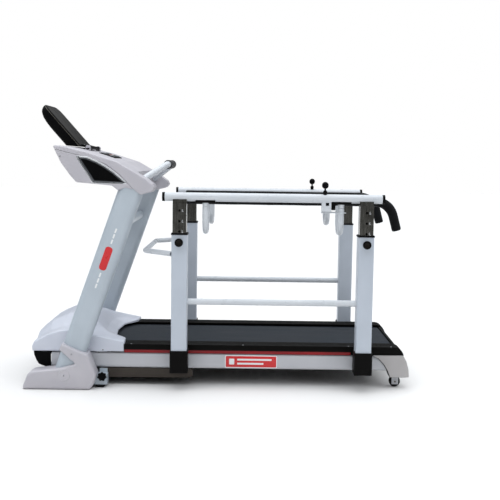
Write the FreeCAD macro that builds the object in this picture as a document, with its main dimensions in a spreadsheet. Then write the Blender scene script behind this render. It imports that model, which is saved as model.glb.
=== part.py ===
import FreeCAD, Part
import Sketcher
import math
import os
import re

# Rehabilitation treadmill with height-adjustable handrails, millimetres.
# X runs along the belt (console at -X, step-on end at +X), Y across, Z up, the floor is Z = 0.
# The origin is on the floor, in the middle of the whole machine.

V = FreeCAD.Vector
doc = FreeCAD.newDocument("GaitTreadmill")

# ---------------------------------------------------------------- driving dimensions
DIMENSIONS = {
    # floor frame
    "frame_front": -900, "frame_back": -542, "frame_in": 350, "frame_tube": 50,
    "frame_low": 15, "frame_wall": 3, "cover_in": 355, "cover_out": 455, "cover_wall": 4,
    "knob_x": -564, "knob_z": 57,
    # incline linkage
    "hinge_x": -566, "hinge_z": 62, "deck_pivot_x": -150, "pivot_pin": 20,
    "arm_in": 320, "arm_out": 340, "arm_height": 46,
    # masts and console
    "mast_y": 400, "mast_long": 118, "mast_wide": 66, "mast_wall": 3, "mast_lean": 19.5,
    "mast_x": -739, "mast_foot": 73, "mast_length": 1010, "bridge_z": 800, "bridge_tube": 50,
    "console_half": 440, "console_wall": 4, "arm_gap": 330,
    "grip_x": -273, "grip_z": 1087, "grip_tube": 32, "grip_foam": 44,
    # running deck
    "rail_in": 305, "rail_out": 345, "rail_low": 87, "rail_top": 163.5,
    "rail_front": -822, "rail_back": 860, "step_in": 255, "step_out": 349, "step_top": 207,
    "belt_half": 250, "belt_top": 193, "belt_thick": 2.5, "roller_dia": 50,
    "front_roller_x": -590, "rear_roller_x": 860, "wheel_x": 878, "wheel_dia": 55, "wheel_y": 300,
    "motor_x": -760, "motor_z": 195, "pulley_y": 279,
    # handrail posts
    "post": 75, "post_wall": 3, "post_y": 420, "front_post_x": -189, "rear_post_x": 699,
    "post_top": 757, "socket_low": 90, "socket_top": 198, "inner_post": 65, "inner_low": 380,
    "pin_z": 722, "hole_pitch": 50, "hole_dia": 11, "pin_dia": 10,
    "lower_bar_z": 433, "lower_bar": 30, "brace_z": 662, "brace_tube": 25,
    # handrails and swing bars
    "rail_tube": 42, "rail_z": 936, "handrail_front": -265, "handrail_back": 778,
    "swing_y": 285, "swing_z": 920, "swing_tube": 32, "foam_dia": 48,
    "grip_bend": 118, "hanger_tube": 28, "hanger_pin": 16, "front_hanger_x": -68, "rear_hanger_x": 579,
    "lock_x": 501, "lock_rod": 8,
    # clearances
    "running": 0.05,
}

sheet = doc.addObject("Spreadsheet::Sheet", "Dims")
for row, (alias, value) in enumerate(DIMENSIONS.items(), start=1):
    sheet.set(f"A{row}", alias)
    sheet.set(f"B{row}", str(value))
    sheet.setAlias(f"B{row}", alias)
doc.recompute()


def dim(alias):
    """A driving dimension, read back from the sheet."""
    return float(getattr(sheet, alias))


def formula(text):
    """A sheet formula: every alias in the text gets the sheet's name in front of it."""
    return re.sub(r"[a-z_]+", lambda word: "Dims." + word.group(0), str(text))


# ---------------------------------------------------------------- building blocks
NODES = []


def node(obj, name):
    """Marks an object as a finished sub-part, under the name of its file."""
    obj.Label = name
    NODES.append(obj)
    return obj


def bind(obj, **formulas):
    for prop, text in formulas.items():
        obj.setExpression(prop.replace("__", "."), formula(text))
    return obj


def block(name, x, y, z):
    """A box between two corners; each of x, y and z is a (low, high) pair of formulas."""
    obj = doc.addObject("Part::Box", name)
    bind(obj, Length=f"({x[1]}) - ({x[0]})", Width=f"({y[1]}) - ({y[0]})", Height=f"({z[1]}) - ({z[0]})")
    bind(obj, Placement__Base__x=x[0], Placement__Base__y=y[0], Placement__Base__z=z[0])
    return obj


TURNS = {
    "x": FreeCAD.Rotation(V(0, 1, 0), 90),
    "y": FreeCAD.Rotation(V(1, 0, 0), -90),
    "z": FreeCAD.Rotation(),
}


def rod(name, axis, start, length, diameter):
    """A round bar from the point start, running along +axis."""
    obj = doc.addObject("Part::Cylinder", name)
    obj.Placement = FreeCAD.Placement(V(), TURNS[axis])
    bind(obj, Radius=f"({diameter}) / 2", Height=length)
    bind(obj, Placement__Base__x=start[0], Placement__Base__y=start[1], Placement__Base__z=start[2])
    return obj


def ball(name, centre, diameter):
    obj = doc.addObject("Part::Sphere", name)
    bind(obj, Radius=f"({diameter}) / 2")
    bind(obj, Placement__Base__x=centre[0], Placement__Base__y=centre[1], Placement__Base__z=centre[2])
    return obj


def fuse(name, parts):
    obj = doc.addObject("Part::MultiFuse", name)
    obj.Shapes = parts
    return obj


def cut(name, base, tools):
    obj = doc.addObject("Part::Cut", name)
    obj.Base = base
    obj.Tool = tools[0] if len(tools) == 1 else fuse(name + "_tools", tools)
    return obj


def common(name, first, second):
    obj = doc.addObject("Part::Common", name)
    obj.Base = first
    obj.Tool = second
    return obj


def group(name, parts):
    """Several separate solids in one sub-part."""
    obj = doc.addObject("Part::Compound", name)
    obj.Links = parts
    return obj


def mirrored(name, source, normal=V(0, 1, 0)):
    obj = doc.addObject("Part::Mirroring", name)
    obj.Source = source
    obj.Normal = normal
    return obj


def both_sides(name, source):
    return group(name, [source, mirrored(name + "_mirror", source)])


def tube(name, axis, start, length, outer, wall):
    """A round tube, open at both ends."""
    return cut(name, rod(name + "_outer", axis, start, length, outer),
               [rod(name + "_bore", axis, start, length, f"({outer}) - 2 * ({wall})")])


def inset(outline, wall):
    """The same closed outline, moved inwards by the wall thickness with mitred corners."""
    count = len(outline)
    area = sum(outline[i][0] * outline[(i + 1) % count][1] - outline[(i + 1) % count][0] * outline[i][1]
               for i in range(count))
    side = 1 if area > 0 else -1
    result = []
    for i in range(count):
        before, here, after = outline[i - 1], outline[i], outline[(i + 1) % count]
        normals = []
        for a, b in ((before, here), (here, after)):
            length = math.dist(a, b)
            normals.append((-side * (b[1] - a[1]) / length, side * (b[0] - a[0]) / length))
        (ax, az), (bx, bz) = normals
        scale = wall / (1 + ax * bx + az * bz)
        result.append((here[0] + (ax + bx) * scale, here[1] + (az + bz) * scale))
    return result


def origin_plane(body, role):
    return [plane for plane in body.Origin.OriginFeatures if plane.Role == role][0]


def outline_sketch(body, name, outline, plane="XZ_Plane"):
    """A closed, fully placed outline of straight lines on one of the body's own planes."""
    sketch = body.newObject("Sketcher::SketchObject", name)
    sketch.AttachmentSupport = [(origin_plane(body, plane), "")]
    sketch.MapMode = "FlatFace"
    add_loop(sketch, outline)
    return sketch


def add_loop(sketch, outline):
    count = len(outline)
    first = sketch.GeometryCount
    lines = []
    for i in range(count):
        a, b = outline[i], outline[(i + 1) % count]
        lines.append(Part.LineSegment(V(a[0], a[1], 0), V(b[0], b[1], 0)))
    sketch.addGeometry(lines, False)
    rules = []
    for i in range(count):
        rules.append(Sketcher.Constraint("Coincident", first + i, 2, first + (i + 1) % count, 1))
        rules.append(Sketcher.Constraint("DistanceX", -1, 1, first + i, 1, outline[i][0]))
        rules.append(Sketcher.Constraint("DistanceY", -1, 1, first + i, 1, outline[i][1]))
    sketch.addConstraint(rules)


def prism(name, outline, y):
    """A side outline (x, z) padded across the machine, from y[0] to y[1]."""
    body = doc.addObject("PartDesign::Body", name)
    sketch = outline_sketch(body, name + "_outline", outline)
    pad = body.newObject("PartDesign::Pad", name + "_pad")
    pad.Profile = sketch
    pad.setExpression("Length", formula(f"({y[1]}) - ({y[0]})"))
    body.setExpression("Placement.Base.y", formula(y[1]))
    body.Tip = pad
    return body


def bent_path(points, radius):
    """Straight runs through the points, joined by tangent arcs of one radius."""
    corners = [V(*point) for point in points]
    edges = []
    start = corners[0]
    for before, here, after in zip(corners, corners[1:], corners[2:]):
        inwards = (before - here).normalize()
        outwards = (after - here).normalize()
        half = math.acos(max(-1.0, min(1.0, inwards.dot(outwards)))) / 2
        reach = radius / math.tan(half)
        bisector = (inwards + outwards).normalize()
        entry = here + inwards * reach
        leave = here + outwards * reach
        middle = here + bisector * (radius / math.sin(half) - radius)
        if (entry - start).Length > 1e-6:
            edges.append(Part.LineSegment(start, entry).toShape())
        edges.append(Part.Arc(entry, middle, leave).toShape())
        start = leave
    edges.append(Part.LineSegment(start, corners[-1]).toShape())
    return Part.Wire(edges)


def swept(path, diameter):
    """A solid round bar along a path."""
    first = path.Edges[0]
    start = first.valueAt(first.FirstParameter)
    direction = first.tangentAt(first.FirstParameter)
    circle = Part.Wire(Part.makeCircle(diameter / 2, start, direction))
    return path.makePipeShell([circle], True, False)


def bent_tube(name, points, radius, outer, wall=0):
    """A round tube bent along a path; no wall makes it a solid bar."""
    path = bent_path(points, radius)
    shape = swept(path, outer)
    if wall:
        shape = shape.cut(swept(path, outer - 2 * wall))
    obj = doc.addObject("Part::Feature", name)
    obj.Shape = shape
    return obj


def ruled_shell(name, sections):
    """A solid through side outlines that all have the same number of corners; (y, outline) pairs."""
    wires = []
    for y, outline in sections:
        corners = [V(x, y, z) for x, z in outline]
        wires.append(Part.makePolygon(corners + corners[:1]))
    obj = doc.addObject("Part::Feature", name)
    obj.Shape = Part.makeLoft(wires, True, True)
    return obj


# ---------------------------------------------------------------- floor frame
def make_base_frame():
    tube_out = "frame_in + frame_tube"
    side = block("floor_tube", ("frame_front", "frame_back"), ("frame_in", tube_out),
                 ("frame_low", "frame_low + frame_tube"))
    side_bore = block("floor_tube_bore", ("frame_front", "frame_back"),
                      ("frame_in + frame_wall", tube_out + " - frame_wall"),
                      ("frame_low + frame_wall", "frame_low + frame_tube - frame_wall"))
    knob_bore = rod("knob_bore", "y", ("knob_x", tube_out + " - 10", "knob_z"), "20", "8 + 2 * running")
    side_tube = cut("side_tube", side, [side_bore, knob_bore])
    foot_plate = block("mast_foot_plate", ("-800", "-680"), ("frame_in + 2", "442"), ("65", "mast_foot"))
    ear = block("hinge_ear", ("hinge_x - 19", "hinge_x + 19"), ("frame_in - 6", "frame_in"), ("18", "84"))
    pin = rod("hinge_pin", "y", ("hinge_x", "arm_in - 2", "hinge_z"), "frame_in - 4 - arm_in", "pivot_pin")
    half = fuse("half_frame", [side_tube, foot_plate, ear, pin])
    other = mirrored("half_frame_mirror", half)
    across = ("-frame_in", "frame_in")
    front = block("front_cross_tube", ("-870", "-820"), across, ("frame_low", "frame_low + frame_tube"))
    front_bore = block("front_cross_bore", ("-867", "-823"), ("-frame_in - 60", "frame_in + 60"),
                       ("18", "62"))
    back = block("rear_cross_tube", ("-655", "-615"), across, ("frame_low", "45"))
    front_tube = cut("front_tube", front, [front_bore])
    ears = [block(f"actuator_ear_{side_name}", ("-860", "-830"), (low, high), ("65", "92"))
            for side_name, low, high in (("left", "-20", "-14"), ("right", "14", "20"))]
    actuator_pin = rod("actuator_pin", "y", ("-845", "-20", "78"), "40", "12")
    whole = fuse("base_frame", [half, other, front_tube, back, actuator_pin] + ears)
    node(whole, "base_frame")


def make_base_feet():
    pads = []
    for place, x in (("front", "-885"), ("rear", "-598")):
        pads.append(block(f"foot_{place}", (x, x + " + 40"), ("frame_in + 4", "frame_in + frame_tube - 4"),
                          ("0", "frame_low")))
    half = group("feet_left", pads)
    node(both_sides("base_feet", half), "base_feet")


# Side outline of the moulded foot cover: a low toe in front, a notch, and a collar round the mast.
COVER = [(-942, 1), (-939, 20), (-917, 74), (-898, 88), (-756, 105), (-685, 126), (-764, 193),
         (-752, 225), (-627, 172), (-587, 68), (-600, 25), (-618, 1)]


def mast_blank(name, wide, long_side, length):
    """One leaning mast: a slot-shaped section pushed along its own axis."""
    body = doc.addObject("PartDesign::Body", name)
    sketch = body.newObject("Sketcher::SketchObject", name + "_section")
    sketch.AttachmentSupport = [(origin_plane(body, "XY_Plane"), "")]
    sketch.MapMode = "FlatFace"
    radius = wide / 2
    flat = (long_side - wide) / 2
    sketch.addGeometry([
        Part.LineSegment(V(-flat, radius, 0), V(flat, radius, 0)),
        Part.ArcOfCircle(Part.Circle(V(flat, 0, 0), V(0, 0, 1), radius), -math.pi / 2, math.pi / 2),
        Part.LineSegment(V(flat, -radius, 0), V(-flat, -radius, 0)),
        Part.ArcOfCircle(Part.Circle(V(-flat, 0, 0), V(0, 0, 1), radius), math.pi / 2, 3 * math.pi / 2),
    ], False)
    sketch.addConstraint([Sketcher.Constraint("Coincident", a, pa, b, pb)
                          for a, pa, b, pb in ((0, 2, 1, 2), (1, 1, 2, 1), (2, 2, 3, 2), (3, 1, 0, 1))])
    sketch.addConstraint(Sketcher.Constraint("Horizontal", 0))
    sketch.addConstraint(Sketcher.Constraint("Horizontal", 2))
    pad = body.newObject("PartDesign::Pad", name + "_pad")
    pad.Profile = sketch
    pad.setExpression("Length", formula(length))
    body.Placement = FreeCAD.Placement(V(), FreeCAD.Rotation(V(0, 1, 0), dim("mast_lean")))
    bind(body, Placement__Base__x="mast_x - 9", Placement__Base__y="-mast_y",
         Placement__Base__z="mast_foot - 26")
    body.Tip = pad
    return body


def make_masts(bar_slot):
    wide, long_side, wall = dim("mast_wide"), dim("mast_long"), dim("mast_wall")
    outer = mast_blank("mast_outer", wide, long_side, "mast_length")
    bore = mast_blank("mast_bore", wide - 2 * wall, long_side - 2 * wall, "mast_length + 20")
    level = block("mast_foot_cut", ("-900", "-500"), ("-500", "-300"), ("0", "mast_foot"))
    left = cut("mast_left", outer, [bore, level])
    right = mirrored("mast_right", left)
    bridge = tube("mast_bridge", "y", ("-479", "-mast_y + mast_wide / 2 - 2", "bridge_z"),
                  "2 * mast_y - mast_wide + 4", "bridge_tube", "frame_wall")
    whole = fuse("masts_whole", [left, right, bridge])
    node(cut("mast_frame", whole, [bar_slot]), "mast_frame")


def mast_clearance(name, spare):
    wide, long_side = dim("mast_wide"), dim("mast_long")
    left = mast_blank(name + "_left", wide + 2 * spare, long_side + 2 * spare, "mast_length + 5")
    return fuse(name, [left, mirrored(name + "_right", left)])


COVER_SCREWS = ((-703, 174), (-741, 70))


def make_base_covers():
    wall = dim("cover_wall")
    skin = prism("cover_skin", COVER, ("-cover_out", "-cover_in"))
    hollow = inset(COVER, wall)
    hollow[0] = (hollow[0][0], -10)
    hollow[-1] = (hollow[-1][0], -10)
    cavity = prism("cover_cavity", hollow, ("-cover_out + cover_wall", "-cover_in - cover_wall"))
    tube_slot = block("cover_tube_slot", ("frame_front - 5", "-500"), ("-frame_in - frame_tube - 2", "-300"),
                      ("-5", "75"))
    mast = mast_blank("cover_mast_slot", dim("mast_wide") + 2, dim("mast_long") + 2, "400")
    screws, holes = [], []
    for number, (x, z) in enumerate(COVER_SCREWS, start=1):
        head = rod(f"cover_screw_head_{number}", "y", (str(x), "-cover_out - 1.5", str(z)), "1.5", "9")
        shank = rod(f"cover_screw_shank_{number}", "y", (str(x), "-cover_out - 0.5", str(z)), "12", "4")
        holes.append(rod(f"cover_hole_{number}", "y", (str(x), "-cover_out - 1", str(z)), "8", "4"))
        screws.append(fuse(f"cover_screw_{number}", [head, shank]))
    left = cut("cover_left", skin, [cavity, tube_slot, mast] + holes)
    node(both_sides("base_covers", left), "base_covers")
    node(both_sides("cover_screws", group("cover_screws_left", screws)), "cover_screws")


# ---------------------------------------------------------------- console
CONSOLE = [(-789, 1166), (-779, 1172), (-736, 1167), (-626, 1141), (-487, 1098), (-415, 1057), (-352, 1020),
           (-318, 994), (-308, 974), (-322, 957), (-376, 942), (-410, 968), (-448, 976), (-482, 962),
           (-511, 984), (-549, 988), (-679, 998), (-706, 1027), (-752, 1090)]
# The upper shell is everything above this line, which follows the loudspeaker grille's top edge.
CONSOLE_PARTING = [(-800, 1157), (-683, 1129), (-612, 1112), (-541, 1085), (-479, 1040), (-425, 985),
                   (-376, 930), (-250, 900), (-250, 1250), (-800, 1250)]
GRILLE = [(-677, 1120), (-628, 1116), (-583, 1098), (-541, 1075), (-500, 1047), (-467, 1019), (-440, 995),
          (-598, 998)]


def make_console(mast_slot, bar_slot):
    wall = dim("console_wall")
    skin = prism("console_skin", CONSOLE, ("-console_half", "console_half"))
    bay = block("console_bay", ("-404", "-250"), ("-arm_gap", "arm_gap"), ("900", "1200"))
    solid = cut("console_solid", skin, [bay])
    cavity_all = prism("console_cavity", inset(CONSOLE, wall),
                       ("-console_half + console_wall", "console_half - console_wall"))
    bay_wall = block("console_bay_wall", ("-404 - console_wall", "-250"),
                     ("-arm_gap - console_wall", "arm_gap + console_wall"), ("900", "1200"))
    cavity = cut("console_hollow", cavity_all, [bay_wall])
    hinge_groove = rod("hinge_groove", "y", ("-672", "-163", "1166"), "326", "28")
    tray_slot = block("tray_slot", ("-625", "-540"), ("-130", "130"), ("1090", "1160"))
    grille_slot = prism("grille_slot_left", GRILLE, ("-console_half - 5", "-console_half + console_wall + 1"))
    other_slot = mirrored("grille_slot_right", grille_slot)
    shell = cut("console_shell", solid, [cavity, mast_slot, bar_slot, hinge_groove, tray_slot, grille_slot,
                                         other_slot])
    upper_side = prism("console_upper_side", CONSOLE_PARTING, ("-500", "500"))
    upper = common("upper_part", shell, upper_side)
    bosses = []
    for side_name, low in (("left", "-163"), ("right", "143")):
        post = block(f"display_boss_{side_name}", ("-684", "-660"), (low, low + " + 20"), ("1146", "1166"))
        head = rod(f"display_boss_head_{side_name}", "y", ("-672", low, "1166"), "20", "24")
        hole = rod(f"display_boss_hole_{side_name}", "y", ("-672", low + " - 1", "1166"), "22",
                   "10 + 2 * running")
        solid_boss = fuse(f"boss_{side_name}", [post, head])
        bosses.append(cut(f"display_boss_whole_{side_name}", solid_boss, [hole]))
    node(fuse("console_upper_shell", [upper] + bosses), "console_upper_shell")
    node(cut("console_lower_shell", shell, [upper_side]), "console_lower_shell")
    tray = prism("tray", [(-623, 1144), (-542, 1119), (-545, 1098), (-623, 1108)], ("-128", "128"))
    button_well = rod("button_well", "z", ("-582", "0", "1095"), "60", "32")
    node(cut("keypad_tray", tray, [button_well]), "keypad_tray")
    cap = rod("button_cap", "z", ("-582", "0", "1115"), "19", "30")
    node(cap, "stop_button")
    grille_low, grille_high = "-console_half - 1", "-console_half + console_wall"
    grille = prism("grille_plate", inset(GRILLE, 0.5), (grille_low, grille_high))
    node(both_sides("speaker_grilles", grille), "speaker_grilles")


def handlebar_points():
    grip_x, grip_z = dim("grip_x"), dim("grip_z")
    half = [(-440, -372, 968), (-405, -360, 994), (grip_x, -170, grip_z)]
    return half + [(x, -y, z) for x, y, z in reversed(half)]


def make_handlebar():
    bar = bent_tube("handlebar_tube", handlebar_points(), 45, dim("grip_tube"), 2.5)
    node(bar, "handlebar_tube")
    sleeve = tube("handlebar_sleeve", "y", ("grip_x", "-120", "grip_z"), "240", "grip_foam",
                  "grip_foam / 2 - grip_tube / 2")
    node(sleeve, "handlebar_grip")


# The display is a slab leaning away from the user. Its profile is measured up along its face and out from it,
# starting at the lower front corner.
DISPLAY_FOOT, DISPLAY_LEAN = (-706, 1171), math.radians(48.5)
DISPLAY_TOP, DISPLAY_THICK = 281, 52
DISPLAY_PROFILE = [(0, 0), (270, 0), (278, -4), (DISPLAY_TOP, -12), (277, -26), (265, -38), (245, -46), (218, -51),
                   (193, -DISPLAY_THICK), (55, -DISPLAY_THICK), (10, -2)]


def on_display(up, out):
    """A side point, measured up along the display's face and then straight out of it."""
    along_x, along_z = -math.cos(DISPLAY_LEAN), math.sin(DISPLAY_LEAN)
    return (DISPLAY_FOOT[0] + up * along_x + out * along_z, DISPLAY_FOOT[1] + up * along_z - out * along_x)


def face_slab(name, low, high, back, front, y):
    """A slab parallel to the display's face."""
    return prism(name, [on_display(low, back), on_display(high, back), on_display(high, front),
                        on_display(low, front)], y)


def display_corner(name, sign):
    """The slanting piece that is cut off one top corner of the display."""
    loop = []
    for up, y in ((DISPLAY_TOP - 48, 161), (DISPLAY_TOP + 9, 161), (DISPLAY_TOP + 9, 104)):
        x, z = on_display(up, 5)
        loop.append(V(x, sign * y, z))
    x, z = on_display(DISPLAY_TOP - 48, -60)
    obj = doc.addObject("Part::Feature", name)
    obj.Shape = Part.Face(Part.makePolygon(loop + loop[:1])).extrude(V(x, sign * 161, z) - loop[0])
    return obj


def make_display():
    profile = [on_display(up, out) for up, out in DISPLAY_PROFILE]
    skin = prism("display_skin", profile, ("-160", "160"))
    barrel = rod("display_barrel", "y", ("-672", "-141", "1166"), "282", "24")
    pin = rod("display_pin", "y", ("-672", "-160", "1166"), "320", "10")
    toe = prism("display_toe", [(-716, 1186), (-716, 1178), (-708, 1172), (-672, 1156), (-672, 1177),
                                (-700, 1182)], ("-120", "120"))
    recess = face_slab("display_recess", 20, 240, -3, 3, ("-142", "142"))
    corners = [display_corner("display_corner_left", -1), display_corner("display_corner_right", 1)]
    whole = fuse("display_whole", [skin, barrel, pin, toe])
    node(cut("display_housing", whole, corners + [recess]), "display_housing")
    node(face_slab("display_screen", 21, 239, -3, -0.8, ("-141", "141")), "display_screen")


# ---------------------------------------------------------------- knobs of the floor frame
def make_star_knobs():
    lobes = 7
    hub = rod("star_hub", "y", ("knob_x", "402", "knob_z"), "18", "32")
    stud = rod("star_stud", "y", ("knob_x", "388", "knob_z"), "16", "8")
    parts = [hub, stud]
    for i in range(lobes):
        angle = math.radians(90 + 360 / lobes * i)
        x, z = 14.5 * math.cos(angle), 14.5 * math.sin(angle)
        centre = (f"knob_x + {x:.4f}", "402", f"knob_z + {z:.4f}")
        parts.append(rod(f"star_lobe_{i}", "y", centre, "18", "12"))
    right = fuse("star_right", parts)
    left = mirrored("star_left", right)
    node(left, "star_knob_left")
    node(right, "star_knob_right")


# ---------------------------------------------------------------- incline linkage
def make_lift_frame():
    hinge_x, hinge_z, pivot_x = "hinge_x", "hinge_z", "deck_pivot_x"
    thick = "arm_out - arm_in"
    bar = block("lift_bar", (hinge_x, pivot_x), ("arm_in", "arm_out"),
                ("hinge_z - arm_height / 2", "hinge_z + arm_height / 2"))
    ends = [rod(f"lift_end_{i}", "y", (x, "arm_in", hinge_z), thick, "arm_height")
            for i, x in enumerate((hinge_x, pivot_x))]
    bores = [rod(f"lift_bore_{i}", "y", (x, "arm_in - 1", hinge_z), thick + " + 2",
                 "pivot_pin + 2 * running")
             for i, x in enumerate((hinge_x, pivot_x))]
    arm = cut("lift_arm", fuse("lift_arm_solid", [bar] + ends), bores)
    other = mirrored("lift_arm_mirror", arm)
    front = tube("lift_front_tube", "y", (hinge_x, "-arm_in", hinge_z), "2 * arm_in", "42", "6")
    rear = block("lift_rear_tube", ("-320", "-280"), ("-arm_in", "arm_in"), ("45", "75"))
    lugs = [block(f"lug_{i}", ("hinge_x - 10", "hinge_x + 10"), (low, high), ("75", "120"))
            for i, (low, high) in enumerate((("-15", "-9"), ("9", "15")))]
    pin = rod("lug_pin", "y", (hinge_x, "-15", "hinge_z + 50"), "30", "12")
    node(fuse("lift_frame", [arm, other, front, rear, pin] + lugs), "lift_frame")


def make_actuator():
    start, end = V(-845, 0, 78), V(-566, 0, 112)
    length = (end - start).Length
    turn = FreeCAD.Rotation(V(1, 0, 0), end - start)
    place = FreeCAD.Placement(start, turn)

    def along(low, high, diameter):
        return Part.makeCylinder(diameter / 2, high - low, V(low, 0, 0), V(1, 0, 0))

    def eye(x, outer, bore):
        ring = Part.makeCylinder(outer / 2, 20, V(x, -10, 0), V(0, 1, 0))
        return ring.cut(Part.makeCylinder(bore / 2, 22, V(x, -11, 0), V(0, 1, 0)))

    housing = along(32, 190, 40).fuse(along(8, 34, 22)).fuse(eye(0, 22, 12.2))
    gearbox = Part.makeBox(46, 56, 36, V(34, -28, -18))
    housing = housing.fuse(gearbox).cut(along(60, 195, 18.1))
    housing = housing.cut(Part.makeCylinder(6.1, 30, V(0, -15, 0), V(0, 1, 0)))
    body = doc.addObject("Part::Feature", "actuator_housing")
    body.Shape = housing.removeSplitter()
    body.Placement = place
    node(body, "actuator_housing")
    screw = along(90, length - 8, 18).fuse(eye(length, 20, 13).common(
        Part.makeBox(60, 16, 60, V(length - 30, -8, -30))))
    screw = screw.cut(Part.makeCylinder(6.5, 30, V(length, -15, 0), V(0, 1, 0)))
    ram = doc.addObject("Part::Feature", "actuator_rod")
    ram.Shape = screw.removeSplitter()
    ram.Placement = place
    node(ram, "actuator_rod")


# ---------------------------------------------------------------- running deck
def make_deck_frame():
    long_x = ("rail_front", "rail_back")
    square_rail = block("side_rail_square", long_x, ("rail_in", "rail_out"), ("rail_low", "rail_top"))
    doc.recompute()
    rail = doc.addObject("Part::Fillet", "side_rail")
    rail.Base = square_rail
    rail.Edges = [(number, 14, 14) for number, edge in enumerate(square_rail.Shape.Edges, start=1)
                  if edge.BoundBox.YMin > dim("rail_out") - 1 and edge.BoundBox.XLength > 100]
    bore = block("side_rail_bore", long_x, ("rail_in + 2.5", "rail_out - 8"), ("rail_low + 6", "rail_top - 6"))
    tube_part = cut("side_rail_tube", rail, [bore])
    ear = block("pivot_ear", ("deck_pivot_x - 22", "deck_pivot_x + 22"), ("306", "316"), ("40", "rail_low"))
    pin = rod("deck_pin", "y", ("deck_pivot_x", "306", "hinge_z"), "36", "pivot_pin")
    parts = [tube_part, ear, pin]
    shaft_ways = []
    for place, x in (("front", "front_roller_x"), ("rear", "rear_roller_x")):
        parts.append(block(f"roller_block_{place}", (x + " - 20", x + " + 20"), ("rail_in", "rail_out - 10"),
                           ("rail_top - 1", "rail_top + 20")))
        shaft_ways.append(rod(f"roller_way_{place}", "y",
                              (x, "rail_in - 1", "belt_top - belt_thick - roller_dia / 2"), "40",
                              "17 + 2 * running"))
    bracket_x = ("wheel_x - 16", "wheel_x + 16")
    for place, low, high in (("inner", "wheel_y - 20", "wheel_y - 14"),
                             ("outer", "wheel_y + 14", "wheel_y + 20")):
        cheek = block(f"wheel_cheek_{place}", bracket_x, (low, high), ("14", "130"))
        hole = rod(f"wheel_hole_{place}", "y", ("wheel_x", low + " - 1", "wheel_dia / 2"), "8",
                   "10 + 2 * running")
        parts.append(cut(f"wheel_ear_{place}", cheek, [hole]))
    parts.append(block("wheel_plate", ("rail_back - 30", "wheel_x + 16"), ("wheel_y - 20", "wheel_y + 20"),
                       ("100", "130")))
    half = cut("deck_half", fuse("deck_half_solid", parts), shaft_ways)
    other = mirrored("deck_half_mirror", half)
    across = ("-rail_in", "rail_in")
    cross = [block(f"crossmember_{i}", (str(x - 20), str(x + 20)), across, ("92", "126"))
             for i, x in enumerate((-500, -150, 250, 650))]
    rear = block("rear_crossmember", ("rail_back - 30", "rail_back + 5"), ("20 - wheel_y", "wheel_y - 20"),
                 ("92", "126"))
    tray_left = block("motor_tray_left", ("rail_front + 7", "-640"), ("-rail_in", "-38"), ("92", "97"))
    tray_right = block("motor_tray_right", ("rail_front + 7", "-640"), ("38", "rail_in"), ("92", "97"))
    front = block("front_crossmember", ("rail_front", "rail_front + 10"), across, ("104", "150"))
    node(group("deck_frame", [half, other, rear, tray_left, tray_right, front] + cross), "deck_frame")


def make_walking_surface():
    roller_radius = "roller_dia / 2"
    centre_z = "belt_top - belt_thick - roller_dia / 2"
    board = block("deck_board", ("-532", "818"), ("-rail_out + 10", "rail_out - 10"),
                  ("rail_top", "belt_top - belt_thick - 0.5"))
    node(board, "deck_board")

    def loop(name, radius, half):
        drums = [rod(f"{name}_drum_{i}", "y", (x, f"-{half}", centre_z), f"2 * {half}", f"2 * ({radius})")
                 for i, x in enumerate(("front_roller_x", "rear_roller_x"))]
        flat = block(name + "_flat", ("front_roller_x", "rear_roller_x"), (f"-{half}", half),
                     (f"{centre_z} - {radius}", f"{centre_z} + {radius}"))
        return fuse(name, drums + [flat])

    outer = loop("belt_outer", roller_radius + " + belt_thick", "belt_half")
    inner = loop("belt_inner", roller_radius + " + 0.1", "(belt_half + 5)")
    node(cut("walking_belt", outer, [inner]), "walking_belt")


# The rear end of a step rail, curving down over the rear cap, the side skirt ahead of it, and the rear bar
# between both rails behind the belt.
STEP_NOSE = [(866, 207), (874, 206.5), (889, 200), (903, 186), (914, 166.3), (889.5, 166.3), (889.5, 188),
             (884, 193), (870, 199), (866, 199)]
STEP_SKIRT = [(650, 179.5), (650, 166.3), (905, 166.3), (896, 182), (884, 193), (870, 199.5), (866, 200),
              (860, 179.5)]
REAR_BAR = [(876, 197), (889, 193), (900, 183), (908, 166.3), (889.5, 166.3), (889.5, 180), (884, 189),
            (876, 193.2)]


def make_step_rails():
    plate = block("step_plate", ("-540", "868"), ("step_in", "step_out"), ("step_top - 8", "step_top"))
    skirt = block("step_skirt", ("-540", "868"), ("rail_out + 0.5", "step_out"), ("179", "step_top"))
    nose = prism("step_nose", STEP_NOSE, ("step_in", "step_out"))
    rear_skirt = prism("step_rear_skirt", STEP_SKIRT, ("rail_out + 0.5", "step_out"))
    half = fuse("step_rail_right", [plate, skirt, nose, rear_skirt])
    bar = prism("step_rear_bar", REAR_BAR, ("-step_in", "step_in"))
    node(group("step_rails", [half, mirrored("step_rail_left", half), bar]), "step_rails")
    strip = block("accent_strip", ("-463", "649.5"), ("rail_out - 1", "step_out - 2"),
                  ("rail_top + 0.3", "179"))
    node(both_sides("accent_strips", strip), "accent_strips")


# Hood outlines: at the side walls, over the step rails, at a quarter of the width and on the centre line.
HOOD_SIDE = [(-916, 165), (-919, 188), (-908, 214), (-844, 250), (-785, 270), (-738, 276), (-665, 269),
             (-617, 252), (-540, 236), (-462, 221), (-462, 165)]
HOOD_CENTRE = [(-926, 165), (-934, 196), (-924, 234), (-853, 294), (-768, 333), (-738, 338), (-705, 340),
               (-640, 300), (-585, 245), (-541, 212), (-541, 165)]


# The hood's mouth over the belt is scooped out by an ellipsoid.
MOUTH_CENTRE = (-455, 0, 255)
MOUTH_HIGH, MOUTH_LONG, MOUTH_WIDE = 72, 80, 250


def blended(first, second, share):
    return [(a[0] + (b[0] - a[0]) * share, a[1] + (b[1] - a[1]) * share) for a, b in zip(first, second)]


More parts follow.
